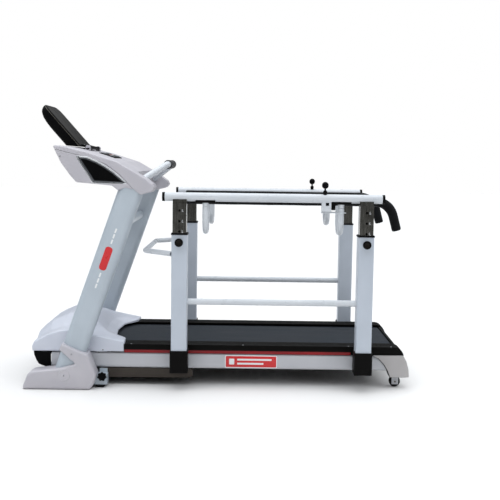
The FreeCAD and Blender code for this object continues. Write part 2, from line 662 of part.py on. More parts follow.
def make_hood():
    wall = 4
    shoulder = blended(HOOD_SIDE, HOOD_CENTRE, 0.12)
    quarter = blended(HOOD_SIDE, HOOD_CENTRE, 0.85)
    outline_at = [(352, HOOD_SIDE), (262, shoulder), (150, quarter), (0, HOOD_CENTRE)]

    def sections(shrink):
        half = []
        for y, outline in outline_at:
            shape = inset(outline, shrink) if shrink else list(outline)
            if shrink:
                shape[0] = (shape[0][0], 150)
                shape[-1] = (shape[-1][0], 150)
                y = min(y, 352 - shrink)
            half.append((y, shape))
        return half + [(-y, shape) for y, shape in reversed(half[:-1])]

    skin = ruled_shell("hood_skin", sections(0))
    cavity = ruled_shell("hood_cavity", sections(wall))
    rails_slot = block("hood_rail_slot", ("-548", "-450"), ("-step_out - 1", "step_out + 1"),
                       ("150", "step_top + 0.5"))
    belt_slot = block("hood_belt_slot", ("-640", "-450"), ("-belt_half - 12", "belt_half + 12"),
                      ("150", "step_top - 2"))
    mouth = doc.addObject("Part::Ellipsoid", "hood_mouth")
    mouth.Placement = FreeCAD.Placement(V(*MOUTH_CENTRE), FreeCAD.Rotation())
    mouth.Radius1, mouth.Radius2, mouth.Radius3 = MOUTH_HIGH, MOUTH_LONG, MOUTH_WIDE
    node(cut("motor_hood", skin, [cavity, rails_slot, belt_slot, mouth]), "motor_hood")


def make_front_bumper():
    outline = [(-910, 166), (-826, 166), (-826, 80), (-849, 80), (-853, 88), (-884, 99), (-896, 116), (-908, 144)]
    skin = prism("bumper_skin", outline, ("-346", "346"))
    hollow = inset(outline, 5)
    open_back = [(-820, hollow[1][1]), (-820, 60), (hollow[5][0], 60)]
    cavity = prism("bumper_cavity", open_back + hollow[5:], ("-341", "341"))
    node(cut("front_bumper", skin, [cavity]), "front_bumper")


def make_drive():
    body = rod("motor_can", "y", ("motor_x", "40", "motor_z"), "205", "100")
    foot = block("motor_feet", ("motor_x - 45", "motor_x + 45"), ("70", "215"), ("97", "motor_z - 30"))
    bore = rod("motor_bore", "y", ("motor_x", "30", "motor_z"), "260", "15 + 2 * running")
    node(cut("drive_motor", fuse("motor_solid", [body, foot]), [bore]), "drive_motor")
    shaft = rod("motor_shaft", "y", ("motor_x", "45", "motor_z"), "pulley_y - 33", "15")
    pulley = rod("motor_wheel", "y", ("motor_x", "pulley_y - 11", "motor_z"), "22", "44")
    node(fuse("motor_pulley", [shaft, pulley]), "motor_pulley")
    node(block("controller_box", ("-806", "-650"), ("-285", "-95"), ("97", "150")), "motor_controller")


def make_rollers():
    centre_z = "belt_top - belt_thick - roller_dia / 2"
    for name, x in (("front_roller", "front_roller_x"), ("rear_roller", "rear_roller_x")):
        drum = rod(name + "_drum", "y", (x, "-belt_half - 8", centre_z), "2 * belt_half + 16", "roller_dia")
        shaft = rod(name + "_shaft", "y", (x, "-rail_out + 12", centre_z), "2 * rail_out - 24", "17")
        parts = [drum, shaft]
        if name == "front_roller":
            parts.append(rod("roller_pulley", "y", (x, "pulley_y - 11", centre_z), "22", "100"))
        node(fuse(name, parts), name)


def make_drive_belt():
    """The flat belt from the motor pulley to the pulley on the front roller."""
    motor = V(dim("motor_x"), 0, dim("motor_z"))
    roller = V(dim("front_roller_x"), 0, dim("belt_top") - dim("belt_thick") - dim("roller_dia") / 2)
    gap_xz = roller - motor

    def loop(small, large, low, high):
        base_angle = math.atan2(gap_xz.z, gap_xz.x)
        lean = math.acos((small - large) / gap_xz.Length)
        points = []
        for centre, radius, sign in ((motor, small, 1), (roller, large, 1), (roller, large, -1),
                                     (motor, small, -1)):
            angle = base_angle + sign * lean
            points.append(V(centre.x + radius * math.cos(angle), low, centre.z + radius * math.sin(angle)))
        far = roller + V(gap_xz).normalize() * large
        near = motor - V(gap_xz).normalize() * small
        edges = [Part.LineSegment(points[0], points[1]).toShape(),
                 Part.Arc(points[1], V(far.x, low, far.z), points[2]).toShape(),
                 Part.LineSegment(points[2], points[3]).toShape(),
                 Part.Arc(points[3], V(near.x, low, near.z), points[0]).toShape()]
        return Part.Face(Part.Wire(edges)).extrude(V(0, high - low, 0))

    low, high = dim("pulley_y") - 8, dim("pulley_y") + 8
    shape = loop(25.3, 53.3, low, high).cut(loop(22.3, 50.3, low - 1, high + 1))
    obj = doc.addObject("Part::Feature", "drive_belt")
    obj.Shape = shape
    node(obj, "drive_belt")


# Side outline of the rear end cap.
REAR_CAP = [(754, 162), (912, 165), (932, 137), (942, 54), (840, 56), (832, 86), (818, 113), (791, 140)]


def make_rear_caps():
    skin = prism("rear_cap_skin", REAR_CAP, ("290", "352"))
    hollow = inset(REAR_CAP, 3.5)
    hollow[3] = (hollow[3][0], 40)
    hollow[4] = (hollow[4][0], 40)
    cavity = prism("rear_cap_cavity", hollow, ("280", "348.5"))
    slot_y = ("280", "rail_out + 0.3")
    rail_slot = block("rear_cap_rail_slot", ("740", "rail_back + 6"), slot_y, ("80", "rail_top + 0.3"))
    bearing_slot = block("rear_cap_bearing_slot", ("rear_roller_x - 22", "rear_roller_x + 22"), slot_y,
                         ("150", "190"))
    right = cut("rear_cap_right", skin, [cavity, rail_slot, bearing_slot])
    node(both_sides("rear_caps", right), "rear_caps")


def make_wheels():
    for name, sign in (("rear_wheel_left", -1), ("rear_wheel_right", 1)):
        low = f"{sign} * wheel_y - 11"
        tyre = rod(name + "_tyre", "y", ("wheel_x", low, "wheel_dia / 2"), "22", "wheel_dia")
        axle = rod(name + "_axle", "y", ("wheel_x", f"{sign} * wheel_y - 22", "wheel_dia / 2"), "44", "10")
        node(fuse(name, [tyre, axle]), name)


# ---------------------------------------------------------------- handrail posts
POSTS = (("front", "front_post_x"), ("rear", "rear_post_x"))


def square(name, x, half, y, half_y, z):
    return block(name, (f"{x} - {half}", f"{x} + {half}"), (f"{y} - {half_y}", f"{y} + {half_y}"), z)


def make_posts():
    posts, sockets, fittings = [], [], []
    for place, x in POSTS:
        half = "post / 2"
        outer = square(f"post_{place}_outer", x, half, "post_y", half, ("92", "post_top"))
        bore = square(f"post_{place}_bore", x, "(post / 2 - post_wall)", "post_y", "(post / 2 - post_wall)",
                      ("90", "post_top + 1"))
        bush_hole = rod(f"post_{place}_hole", "y", (x, "post_y + post / 2 - 6", "pin_z"), "10", "18")
        posts.append(cut(f"post_{place}", outer, [bore, bush_hole]))

        sleeve = square(f"socket_{place}_outer", x, "(post / 2 + 5.5)", "post_y", "(post / 2 + 5.5)",
                        ("socket_low", "socket_top"))
        seat = square(f"socket_{place}_seat", x, half, "post_y", half, ("92", "socket_top + 1"))
        clamp = block(f"socket_{place}_clamp", (x + " - 43", x + " + 43"),
                      ("rail_out", "post_y - post / 2 - 5.5"), ("socket_low", "160"))
        sockets.append(fuse(f"socket_{place}", [cut(f"socket_{place}_sleeve", sleeve, [seat]), clamp]))

        cap = square(f"collar_{place}_cap", x, "(post / 2 + 2.5)", "post_y", "(post / 2 + 2.5)",
                     ("post_top", "post_top + 8"))
        inside = "(post / 2 - post_wall)"
        plug = square(f"collar_{place}_plug", x, inside, "post_y", inside, ("post_top - 22", "post_top + 1"))
        sliding = "(inner_post / 2 + running)"
        way = square(f"collar_{place}_way", x, sliding, "post_y", sliding, ("700", "800"))
        fittings.append(cut(f"collar_{place}", fuse(f"collar_{place}_solid", [cap, plug]), [way]))
        face = "post_y + post / 2"
        barrel = rod(f"bush_{place}_barrel", "y", (x, face + " - 4", "pin_z"), "10", "18")
        flange = rod(f"bush_{place}_flange", "y", (x, face, "pin_z"), "6", "26")
        hole = rod(f"bush_{place}_hole", "y", (x, face + " - 8", "pin_z"), "20", "pin_dia + 2 * running")
        fittings.append(cut(f"bush_{place}", fuse(f"bush_{place}_solid", [barrel, flange]), [hole]))
    for name, parts in (("outer_posts", posts), ("post_sockets", sockets), ("post_collars", fittings)):
        half_group = group(name + "_right", parts)
        node(both_sides(name, half_group), name)


def make_height_pins():
    face = "post_y + post / 2"
    for place, x in POSTS:
        shaft = rod(f"pin_{place}_shaft", "y", (x, face + " - 4.3", "pin_z"), "24", "pin_dia")
        head = rod(f"pin_{place}_head", "y", (x, face + " + 19", "pin_z"), "14", "40")
        right = fuse(f"pin_{place}_right", [shaft, head])
        left = mirrored(f"pin_{place}_left", right)
        node(left, f"height_pin_{place}_left")
        node(right, f"height_pin_{place}_right")


def make_bars():
    bar = tube("side_bar", "x", ("front_post_x + post / 2", "post_y", "lower_bar_z"),
               "rear_post_x - post - front_post_x", "lower_bar", "2")
    node(both_sides("side_bars", bar), "side_bars")
    post_face = dim("front_post_x") - dim("post") / 2
    z = dim("brace_z")
    half = [(post_face, -dim("post_y"), z), (-371, -270, z)]
    points = half + [(x, -y, z) for x, y, z in reversed(half)]
    brace = bent_tube("brace_bar_raw", points, 40, dim("brace_tube"), 2)
    trim = block("brace_trim", (str(post_face), str(post_face + 60)), ("-500", "500"), ("600", "700"))
    node(cut("brace_bar", brace, [trim]), "brace_bar")


# ---------------------------------------------------------------- sliding handrails, one per side
def make_handrail(side, sign):
    y = f"{sign} * post_y"
    length = "handrail_back - handrail_front"
    tube_part = tube(f"handrail_{side}_tube", "x", ("handrail_front", y, "rail_z"), length, "rail_tube",
                     "2.5")
    rod_way = rod(f"handrail_{side}_way", "z", ("lock_x", y, "rail_z - 40"), "80", "lock_rod + 0.4")
    drilled = cut(f"handrail_{side}_drilled", tube_part, [rod_way])
    caps = []
    for place, x, stub in (("front", "handrail_front - 8", "handrail_front"),
                           ("back", "handrail_back", "handrail_back - 20")):
        cap = rod(f"cap_{side}_{place}", "x", (x, y, "rail_z"), "8", "rail_tube + 1")
        plug = rod(f"cap_{side}_{place}_plug", "x", (stub, y, "rail_z"), "20", "rail_tube - 5")
        caps.append(fuse(f"cap_{side}_{place}_whole", [cap, plug]))
    node(group(f"handrail_{side}", [drilled] + caps), f"handrail_{side}")


def make_inner_posts(side, sign):
    y = f"{sign} * post_y"
    posts = []
    for place, x in POSTS:
        name = f"inner_{side}_{place}"
        inside = "(inner_post / 2 - 3)"
        outer = square(name + "_outer", x, "inner_post / 2", y, "inner_post / 2", ("inner_low", "907"))
        bore = square(name + "_bore", x, inside, y, inside, ("inner_low", "900"))
        face = f"{y} + {sign} * inner_post / 2"
        start = face + (" - 1" if sign < 0 else " - 5")
        holes = []
        for step in range(-4, 4):
            holes.append(rod(f"{name}_hole_{step + 4}", "y", (x, start, f"pin_z + {step} * hole_pitch"), "6",
                             "hole_dia"))
        saddle = block(name + "_saddle", (x + " - 33", x + " + 33"), (y + " - 19", y + " + 19"),
                       ("905", "925"))
        seat = rod(name + "_seat", "x", (x + " - 40", y, "rail_z"), "80", "rail_tube")
        solid = cut(name + "_tube", outer, [bore] + holes)
        top = cut(name + "_top", saddle, [seat])
        posts.append(fuse(name, [solid, top]))
    node(group(f"inner_posts_{side}", posts), f"inner_posts_{side}")


def make_rail_brackets(side, sign):
    y = f"{sign} * post_y"
    seat = rod(f"bracket_{side}_seat", "x", ("handrail_front", y, "rail_z"), "1000", "rail_tube")
    parts = []
    for place, x in (("front", "front_hanger_x"), ("rear", "rear_hanger_x")):
        saddle = block(f"hanger_{side}_{place}_saddle", (x + " - 47", x + " + 47"),
                       (y + " - 18", y + " + 18"), ("908", "924"))
        stub = rod(f"hanger_{side}_{place}_stub", "z", (x, y, "892"), "17", "hanger_tube")
        hole = rod(f"hanger_{side}_{place}_hole", "z", (x, y, "890"), "19", "hanger_pin + 2 * running")
        mount = fuse(f"mount_{side}_{place}", [saddle, stub])
        parts.append(cut(f"hanger_mount_{side}_{place}", mount, [seat, hole]))
    lock_block = block(f"lock_{side}_block", ("lock_x - 16", "lock_x + 30"), (y + " - 15", y + " + 15"),
                       ("873", "924"))
    way = rod(f"lock_{side}_way", "z", ("lock_x", y, "870"), "60", "lock_rod + 2 * running")
    parts.append(cut(f"lock_{side}_body", lock_block, [seat, way]))
    stop = square(f"lock_{side}_stop", "541", "9", y, "13", ("882", "924"))
    parts.append(cut(f"lock_{side}_bumper", stop, [seat]))
    boss = ball(f"lock_{side}_boss", ("lock_x", y, "965"), "20")
    boss_way = rod(f"lock_{side}_boss_way", "z", ("lock_x", y, "940"), "50", "lock_rod + 2 * running")
    parts.append(cut(f"lock_{side}_guide", boss, [boss_way, seat]))
    node(group(f"rail_brackets_{side}", parts), f"rail_brackets_{side}")
    stem = rod(f"plunger_{side}_rod", "z", ("lock_x", y, "872.5"), "120", "lock_rod")
    knob = ball(f"plunger_{side}_ball", ("lock_x", y, "1000"), "32")
    node(fuse(f"plunger_{side}", [stem, knob]), f"lock_plunger_{side}")


def make_hanger(side, sign, place, x):
    """A U-shaped swing hanger between the handrail and the padded inner bar."""
    outer_y, inner_y = sign * dim("post_y"), sign * dim("swing_y")
    radius = abs(outer_y - inner_y) / 2
    low = 769
    path = bent_path([(x, outer_y, 891), (x, outer_y, low), (x, inner_y, low), (x, inner_y, 870)],
                     radius - 0.01)
    shape = swept(path, dim("hanger_tube")).cut(swept(path, dim("hanger_tube") - 5))
    for y, top in ((outer_y, 891), (inner_y, 870)):
        shape = shape.fuse(Part.makeCylinder(dim("hanger_pin") / 2, 34, V(x, y, top - 20)))
        shape = shape.fuse(Part.makeCylinder(dim("hanger_tube") / 2 - 2.5, 6, V(x, y, top - 6)))
    if place == "rear":
        shape = shape.fuse(sector_plate(x, outer_y, sign))
    obj = doc.addObject("Part::Feature", f"hanger_{place}_{side}")
    obj.Shape = shape
    node(obj, f"hanger_{place}_{side}")


def sector_plate(x, y, sign):
    """The index plate: a flat sector round the hanger's pivot, with a hole for each lock angle."""
    reach, low, thick = 96, 867.5, 4
    first, last = 168, 242
    disc = Part.makeCylinder(reach, thick, V(x, y, low), V(0, 0, 1), last - first)
    disc.rotate(V(x, y, low), V(0, 0, 1), first if sign > 0 else 360 - last)
    hub = Part.makeCylinder(24, thick, V(x, y, low))
    plate = disc.fuse(hub).cut(Part.makeCylinder(dim("hanger_tube") / 2 - 1, thick + 2, V(x, y, low - 1)))
    radius = x - dim("lock_x")
    for angle in (180, 205, 230):
        turn = math.radians(angle if sign > 0 else 360 - angle)
        place = V(x + radius * math.cos(turn), y + radius * math.sin(turn), low - 1)
        plate = plate.cut(Part.makeCylinder(dim("lock_rod") / 2 + 0.4, thick + 2, place))
    return plate


def make_inner_bar(side, sign):
    """The padded bar inside the handrail, with a grip that curves down at its rear end."""
    y, z = sign * dim("swing_y"), dim("swing_z")
    front, knee, end = V(-205, y, z), V(831, y, z), V(868.5, y, 783)
    path = bent_path([front, knee, end], dim("grip_bend"))
    pad_end = end + (end - knee).normalize() * 5
    pad_path = bent_path([front - V(4, 0, 0), knee, pad_end], dim("grip_bend"))
    steel = swept(path, dim("swing_tube"))
    tube_part = steel.cut(swept(path, dim("swing_tube") - 5))
    foam = swept(pad_path, dim("foam_dia")).cut(steel)
    for x in (dim("front_hanger_x"), dim("rear_hanger_x")):
        stub = Part.makeCylinder(dim("hanger_tube") / 2, z - 870.5, V(x, y, 870.5)).cut(steel)
        pin_way = Part.makeCylinder(dim("hanger_pin") / 2 + dim("running"), 22, V(x, y, 865))
        tube_part = tube_part.fuse(stub.cut(pin_way))
        foam = foam.cut(Part.makeCylinder(dim("hanger_tube") / 2 + 0.2, z - 866, V(x, y, 866)))
    bar = doc.addObject("Part::Feature", f"inner_bar_{side}")
    bar.Shape = tube_part
    node(bar, f"inner_bar_{side}")
    pad = doc.addObject("Part::Feature", f"foam_grip_{side}")
    pad.Shape = foam
    node(pad, f"foam_grip_{side}")


# ---------------------------------------------------------------- assembly
make_base_frame()
make_base_feet()
bar_clearance = bent_tube("handlebar_clearance", handlebar_points(), 45, dim("grip_tube") + 1)
make_masts(bar_clearance)
make_base_covers()
make_console(mast_clearance("console_mast_slot", 1), bar_clearance)
make_handlebar()
make_display()
make_star_knobs()
make_lift_frame()
make_actuator()
make_deck_frame()
make_walking_surface()
make_step_rails()
make_hood()
make_front_bumper()
make_drive()
make_rollers()
make_drive_belt()
make_rear_caps()
make_wheels()
make_posts()
make_height_pins()
make_bars()
for side, sign in (("left", -1), ("right", 1)):
    make_handrail(side, sign)
    make_inner_posts(side, sign)
    make_rail_brackets(side, sign)
    make_hanger(side, sign, "front", dim("front_hanger_x"))
    make_hanger(side, sign, "rear", dim("rear_hanger_x"))
    make_inner_bar(side, sign)

doc.recompute()

# ---------------------------------------------------------------- checks and export
faults = [obj.Name for obj in doc.Objects if "Invalid" in obj.State or "Error" in obj.State]
for obj in NODES:
    if obj.Shape.isNull() or not obj.Shape.isValid() or not obj.Shape.Solids:
        faults.append(obj.Label)
if faults:
    raise SystemExit("not built: " + ", ".join(faults))

os.makedirs("parts", exist_ok=True)
for obj in NODES:
    obj.Shape.exportStep(f"parts/{obj.Label}.step")
box = FreeCAD.BoundBox()
for obj in NODES:
    box.add(obj.Shape.BoundBox)
print(len(NODES), "sub-parts, overall", round(box.XLength, 1), round(box.YLength, 1), round(box.ZLength, 1))
print("x", round(box.XMin, 1), round(box.XMax, 1), "z", round(box.ZMin, 1), round(box.ZMax, 1))
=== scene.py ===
import bmesh
import bpy
from math import atan2, cos, dist, pi, radians, sin, sqrt, tan
from mathutils import Matrix, Vector


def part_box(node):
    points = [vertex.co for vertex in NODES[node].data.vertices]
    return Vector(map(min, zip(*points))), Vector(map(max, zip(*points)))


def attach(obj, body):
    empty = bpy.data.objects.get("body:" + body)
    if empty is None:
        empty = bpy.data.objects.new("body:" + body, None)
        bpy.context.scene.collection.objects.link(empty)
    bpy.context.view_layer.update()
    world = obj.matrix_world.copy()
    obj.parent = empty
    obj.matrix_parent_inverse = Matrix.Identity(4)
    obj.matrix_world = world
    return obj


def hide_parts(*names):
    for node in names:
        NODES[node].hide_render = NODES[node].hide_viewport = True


# The looks of the rehabilitation treadmill. Shapes are written in millimetres and scaled to metres as
# they are made.

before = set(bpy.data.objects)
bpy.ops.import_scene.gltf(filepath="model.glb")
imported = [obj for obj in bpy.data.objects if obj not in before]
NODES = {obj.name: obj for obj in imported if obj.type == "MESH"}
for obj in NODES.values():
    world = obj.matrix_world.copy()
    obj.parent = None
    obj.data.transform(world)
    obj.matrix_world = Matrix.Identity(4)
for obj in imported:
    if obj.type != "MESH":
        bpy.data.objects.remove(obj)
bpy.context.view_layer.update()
SIDES = (("left", -1), ("right", 1))
scene = bpy.context.scene
MM = 0.001

# the places and sizes that several pieces share
POSTS = {"front": -189, "rear": 699}
POST_Y, PIN_Z, HANDRAIL_Z, PLUNGER_X = 420, 722, 936, 501
INNER_BAR_Y, INNER_BAR_Z = 285, 920
WHEEL_X, WHEEL_Y, WHEEL_RADIUS = 878, 300, 27.5
HINGE, GRIP_AXIS, STAR_AXIS = (-672, 0, 1166), (-273, 0, 1087), (-564, 0, 57)
BELT_HALF, DECK_HALF = 255, 349

# the inputs and the output of a colour Mix node, by number
MIX_SHARE, MIX_FIRST, MIX_SECOND, MIX_RESULT = 0, 6, 7, 2


# ---- materials
def srgb(red, green, blue):
    """A colour given as 0 to 255 display values, as the linear values that shaders take."""
    values = []
    for share in (red / 255, green / 255, blue / 255):
        values.append(share / 12.92 if share <= 0.04045 else ((share + 0.055) / 1.055) ** 2.4)
    return (*values, 1)


class Shader:
    """One material with a few short ways to add and join its nodes."""

    def __init__(self, name):
        self.material = bpy.data.materials.new(name)
        self.material.use_nodes = True
        self.tree = self.material.node_tree
        self.surface = self.tree.nodes["Principled BSDF"]
        self.place = self.node("TexCoord").outputs["Object"]

    def node(self, kind, settings=None, **inputs):
        made = self.tree.nodes.new("ShaderNode" + kind)
        for key, value in (settings or {}).items():
            setattr(made, key, value)
        for key, value in inputs.items():
            # an input is given by its name, or by its number after an underscore
            self.join(value, made.inputs[int(key[1:]) if key[0] == "_" else key])
        return made

    def join(self, value, socket):
        if isinstance(value, bpy.types.NodeSocket):
            self.tree.links.new(value, socket)
        else:
            socket.default_value = value

    def stretched(self, x, y, z):
        """Object coordinates, squeezed along each axis."""
        return self.node("Mapping", Vector=self.place, Scale=(x, y, z)).outputs["Vector"]

    def noise(self, scale, detail=2.0, where=None):
        made = self.node("TexNoise", Vector=where or self.place, Scale=scale, Detail=detail)
        return made.outputs["Fac"]

    def ranged(self, value, low, high, out_low=0.0, out_high=1.0):
        """The value's range from low to high as out_low to out_high, and no further."""
        made = self.node("MapRange", Value=value)
        for key, number in (("From Min", low), ("From Max", high), ("To Min", out_low), ("To Max", out_high)):
            made.inputs[key].default_value = number
        return made.outputs["Result"]

    def mixed(self, share, first, second):
        made = self.node("Mix", {"data_type": "RGBA"})
        self.join(share, made.inputs[MIX_SHARE])
        self.join(first, made.inputs[MIX_FIRST])
        self.join(second, made.inputs[MIX_SECOND])
        return made.outputs[MIX_RESULT]

    def maths(self, operation, first, second):
        return self.node("Math", {"operation": operation}, _0=first, _1=second).outputs[0]

    def softened(self, radius):
        """The normal with every hard edge rounded off by the radius, in millimetres."""
        return self.node("Bevel", {"samples": 4}, Radius=radius * MM).outputs["Normal"]

    def edge_mask(self, normal):
        """1 along hard edges and 0 on open surface."""
        flat = self.node("NewGeometry").outputs["Normal"]
        dot = self.node("VectorMath", {"operation": "DOT_PRODUCT"}, _0=normal, _1=flat).outputs["Value"]
        return self.ranged(dot, 0.99, 0.75)

    def surfaced(self, colour, rough, normal=None):
        """Joins what the surface is made of: its colour, its roughness and, unless it is flat, its normal."""
        self.join(colour, self.surface.inputs["Base Color"])
        self.join(rough, self.surface.inputs["Roughness"])
        if normal is not None:
            self.join(normal, self.surface.inputs["Normal"])

    def constant(self, key, number):
        """Sets a number that is the same all over the surface, on the shader's own socket."""
        self.surface.inputs[key].default_value = number

    def bumped(self, height, strength, distance, normal=None):
        made = self.node("Bump", Strength=strength, Distance=distance, Height=height)
        if normal is not None:
            self.join(normal, made.inputs["Normal"])
        return made.outputs["Normal"]


MOTTLE_SCALE, SMUDGE_SCALE = 7.0, 23.1
GRAIN_DEPTH = 0.0002
GLOSS_SPREAD = 0.07


def finish(name, base, other, rough, edge_light=None, bevel=1.2, grain=700, bump=0.12, metallic=0.0, shine=0.5):
    """A coated, moulded or machined surface, mottled with two colours and finely grained, with uneven gloss.
    Its hard edges look rounded by bevel, in millimetres, and are tinted in patches to the edge colour: a
    painted highlight where that colour is lighter, as it is for all but the dark frame."""
    shader = Shader(name)
    broad = shader.noise(MOTTLE_SCALE, 3.0)
    fine = shader.noise(grain)
    smudge = shader.noise(SMUDGE_SCALE, 4.0)
    colour = shader.mixed(shader.ranged(broad, 0.3, 0.7), srgb(*base), srgb(*other))
    normal = shader.softened(bevel)
    if edge_light:
        # painted light on the hard edges, in patches: the edge colour paints a highlight where it is lighter
        # than the surface, as on all but the dark frame, whose edge colour is darker
        edge_light_share = shader.maths("MULTIPLY", shader.edge_mask(normal), shader.ranged(smudge, 0.4, 0.6, 0.3, 0.9))
        colour = shader.mixed(edge_light_share, colour, srgb(*edge_light))
    shader.surfaced(colour, shader.ranged(smudge, 0.25, 0.75, rough - GLOSS_SPREAD, rough + GLOSS_SPREAD),
                    shader.bumped(fine, bump, GRAIN_DEPTH, normal))
    shader.constant("Metallic", metallic)
    shader.constant("Specular IOR Level", shine)
    return shader


def belt_material():
    """Fine diamond-embossed running belt, with dust and uneven gloss in streaks along its length."""
    shader = Shader("running_belt")
    waves = []
    for angle in (45, -45):
        turned = shader.node("Mapping", Vector=shader.place, Rotation=(0, 0, radians(angle)))
        waves.append(shader.node("TexWave", Vector=turned.outputs["Vector"], Scale=110.0,
                                 Distortion=0.0).outputs["Fac"])
    weave = shader.maths("MULTIPLY", waves[0], waves[1])
    dust = shader.noise(9.0, 5.0, shader.stretched(0.35, 1, 1))
    colour = shader.mixed(shader.ranged(dust, 0.3, 0.7), srgb(30, 35, 42), srgb(38, 44, 51))
    colour = shader.mixed(shader.maths("MULTIPLY", weave, 0.35), colour, srgb(22, 25, 29))
    height = shader.maths("ADD", weave, shader.noise(2500.0))
    shader.surfaced(colour, shader.ranged(dust, 0.3, 0.7, 0.62, 0.78), shader.bumped(height, 0.35, 0.0004))
    shader.constant("Specular IOR Level", 0.2)
    return shader


def foam_material():
    """Closed-cell foam: matt, slightly dusty skin with pores."""
    shader = Shader("foam")
    pores = shader.node("TexVoronoi", Vector=shader.place, Scale=650.0).outputs["Distance"]
    cloud = shader.noise(28.0, 5.0)
    colour = shader.mixed(shader.ranged(cloud, 0.35, 0.65), srgb(9, 9, 11), srgb(16, 17, 20))
    height = shader.maths("ADD", pores, cloud)
    shader.surfaced(colour, shader.ranged(cloud, 0.3, 0.7, 0.72, 0.88), shader.bumped(height, 0.4, 0.0005))
    shader.constant("Sheen Weight", 0.08)
    shader.constant("Specular IOR Level", 0.12)
    shader.constant("Sheen Roughness", 0.5)
    return shader


def chrome_material():
    """Dark polished post steel: fine lines drawn along the post, with faint stains."""
    shader = Shader("post_chrome")
    lines = shader.noise(9.0, 6.0, shader.stretched(95, 95, 1.2))
    stain = shader.noise(18.0, 4.0)
    colour = shader.mixed(shader.ranged(lines, 0.35, 0.65), srgb(46, 45, 42), srgb(96, 95, 91))
    colour = shader.mixed(shader.ranged(stain, 0.5, 0.75, 0.0, 0.5), colour, srgb(34, 33, 30))
    shader.surfaced(colour, shader.ranged(stain, 0.3, 0.7, 0.16, 0.3),
                    shader.bumped(lines, 0.08, GRAIN_DEPTH, shader.softened(1.5)))
    shader.constant("Metallic", 1.0)
    return shader


def wood_material():
    """The film-faced board under the belt, dark with a faint grain."""
    shader = Shader("deck_board")
    grain = shader.noise(14.0, 6.0, shader.stretched(0.4, 6, 20))
    colour = shader.mixed(shader.ranged(grain, 0.3, 0.7), srgb(44, 36, 29), srgb(31, 26, 22))
    shader.surfaced(colour, shader.ranged(grain, 0.3, 0.7, 0.35, 0.6), shader.bumped(grain, 0.2, 0.0005))
    return shader


MATERIALS = {
    "mast": finish("mast_powder_coat", (184, 194, 203), (176, 186, 195), 0.36, (214, 222, 229), 2),
    "post": finish("post_powder_coat", (190, 198, 209), (183, 191, 202), 0.4, (212, 218, 226), 2),
    "rail": finish("rail_powder_coat", (208, 212, 217), (199, 204, 210), 0.3, (236, 238, 240), 1),
    "deck_rail": finish("deck_rail_coat", (190, 191, 196), (181, 183, 188), 0.34, (224, 227, 231), 3),
    "dark_frame": finish("dark_frame_coat", (70, 64, 59), (58, 53, 49), 0.45, (52, 49, 46), 2, shine=0.15),
    "black_paint": finish("black_powder_coat", (6, 5, 5), (9, 8, 8), 0.42, (24, 23, 22), 1.5, shine=0.08),
    "shell": finish("shell_plastic", (190, 187, 193), (181, 179, 186), 0.42, (232, 232, 236), 2.5,
                    grain=1100, bump=0.16),
    "hood": finish("hood_plastic", (208, 212, 223), (200, 205, 217), 0.36, (236, 238, 242), 2, grain=1100),
    "cap": finish("cap_plastic", (184, 181, 181), (173, 170, 170), 0.42, (222, 221, 222), 2, grain=1100,
                  bump=0.16),
    "black": finish("black_plastic", (5, 5, 6), (8, 8, 9), 0.48, (24, 24, 26), 1, grain=900, bump=0.25,
                    shine=0.06),
    "step": finish("step_plastic", (7, 6, 5), (11, 10, 9), 0.5, (28, 26, 24), 1, grain=1300, bump=0.4,
                   shine=0.08),
    "gloss": finish("gloss_black", (15, 12, 9), (22, 18, 14), 0.3, (44, 38, 33), 1, bump=0.03, shine=0.12),
    "seam": finish("seam_trim", (150, 146, 134), (122, 118, 108), 0.3, bevel=0.4, metallic=0.6),
    "red": finish("red_plastic", (146, 20, 28), (122, 16, 23), 0.34, (196, 44, 52), 1.6, shine=0.3),
    "badge": finish("badge_red", (214, 40, 44), (200, 34, 38), 0.32, bevel=0.5),
    "white_mark": finish("white_mark", (238, 239, 240), (228, 230, 232), 0.4, bevel=0.3),
    "steel": finish("machined_steel", (168, 169, 172), (144, 146, 150), 0.3, (206, 207, 209), 0.6,
                    grain=1600, metallic=0.95),
    "bright": finish("bright_trim", (214, 216, 219), (196, 198, 202), 0.18, bevel=0.5, metallic=0.9),
    "motor": finish("motor_paint", (62, 65, 70), (52, 54, 58), 0.5, (92, 94, 98), bump=0.3),
    "alloy": finish("alloy", (150, 152, 156), (134, 136, 140), 0.38, (190, 192, 195), metallic=0.8),
    "rubber": finish("rubber", (9, 9, 10), (15, 15, 16), 0.72, (56, 56, 56), grain=900, bump=0.4, shine=0.15),
    "tyre": finish("wheel_plastic", (112, 110, 106), (94, 92, 88), 0.5, (140, 138, 134), bump=0.3),
    "grip": finish("grip_rubber", (42, 42, 43), (60, 61, 62), 0.6, (84, 85, 86), grain=520, bump=0.55),
    "keys": finish("key_plastic", (96, 98, 102), (84, 86, 90), 0.5, (140, 142, 146), 0.6, grain=1100),
    "belt": belt_material(),
    "foam": foam_material(),
    "chrome": chrome_material(),
    "wood": wood_material(),
}


def paint(node, *names):
    """Gives a CAD node its materials and every face the first of them."""
    mesh = NODES[node].data
    mesh.materials.clear()
    for name in names:
        mesh.materials.append(MATERIALS[name].material)
    for face in mesh.polygons:
        face.material_index = 0
    return mesh


# ---- mesh helpers
def as_data(mesh, name):
    """Mesh data from a bmesh, which is used up."""
    data = bpy.data.meshes.new(name)
    mesh.to_mesh(data)
    mesh.free()
    return data


def added(name, data):
    """A new object in the scene."""
    made = bpy.data.objects.new(name, data)
    scene.collection.objects.link(made)
    return made


def place(mesh, name, material, body, sharp=32, stands_for=()):
    """Makes a piece of a bmesh: smooth up to the sharp angle, one material, riding on its body."""
    bmesh.ops.remove_doubles(mesh, verts=mesh.verts, dist=1e-6)
    bmesh.ops.recalc_face_normals(mesh, faces=mesh.faces)
    data = as_data(mesh, name)
    for face in data.polygons:
        face.use_smooth = True
    data.set_sharp_from_angle(angle=radians(sharp))
    data.materials.append(MATERIALS[material].material)
    made = added(name, data)
    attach(made, body)
    if stands_for:
        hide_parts(*stands_for)
    return made


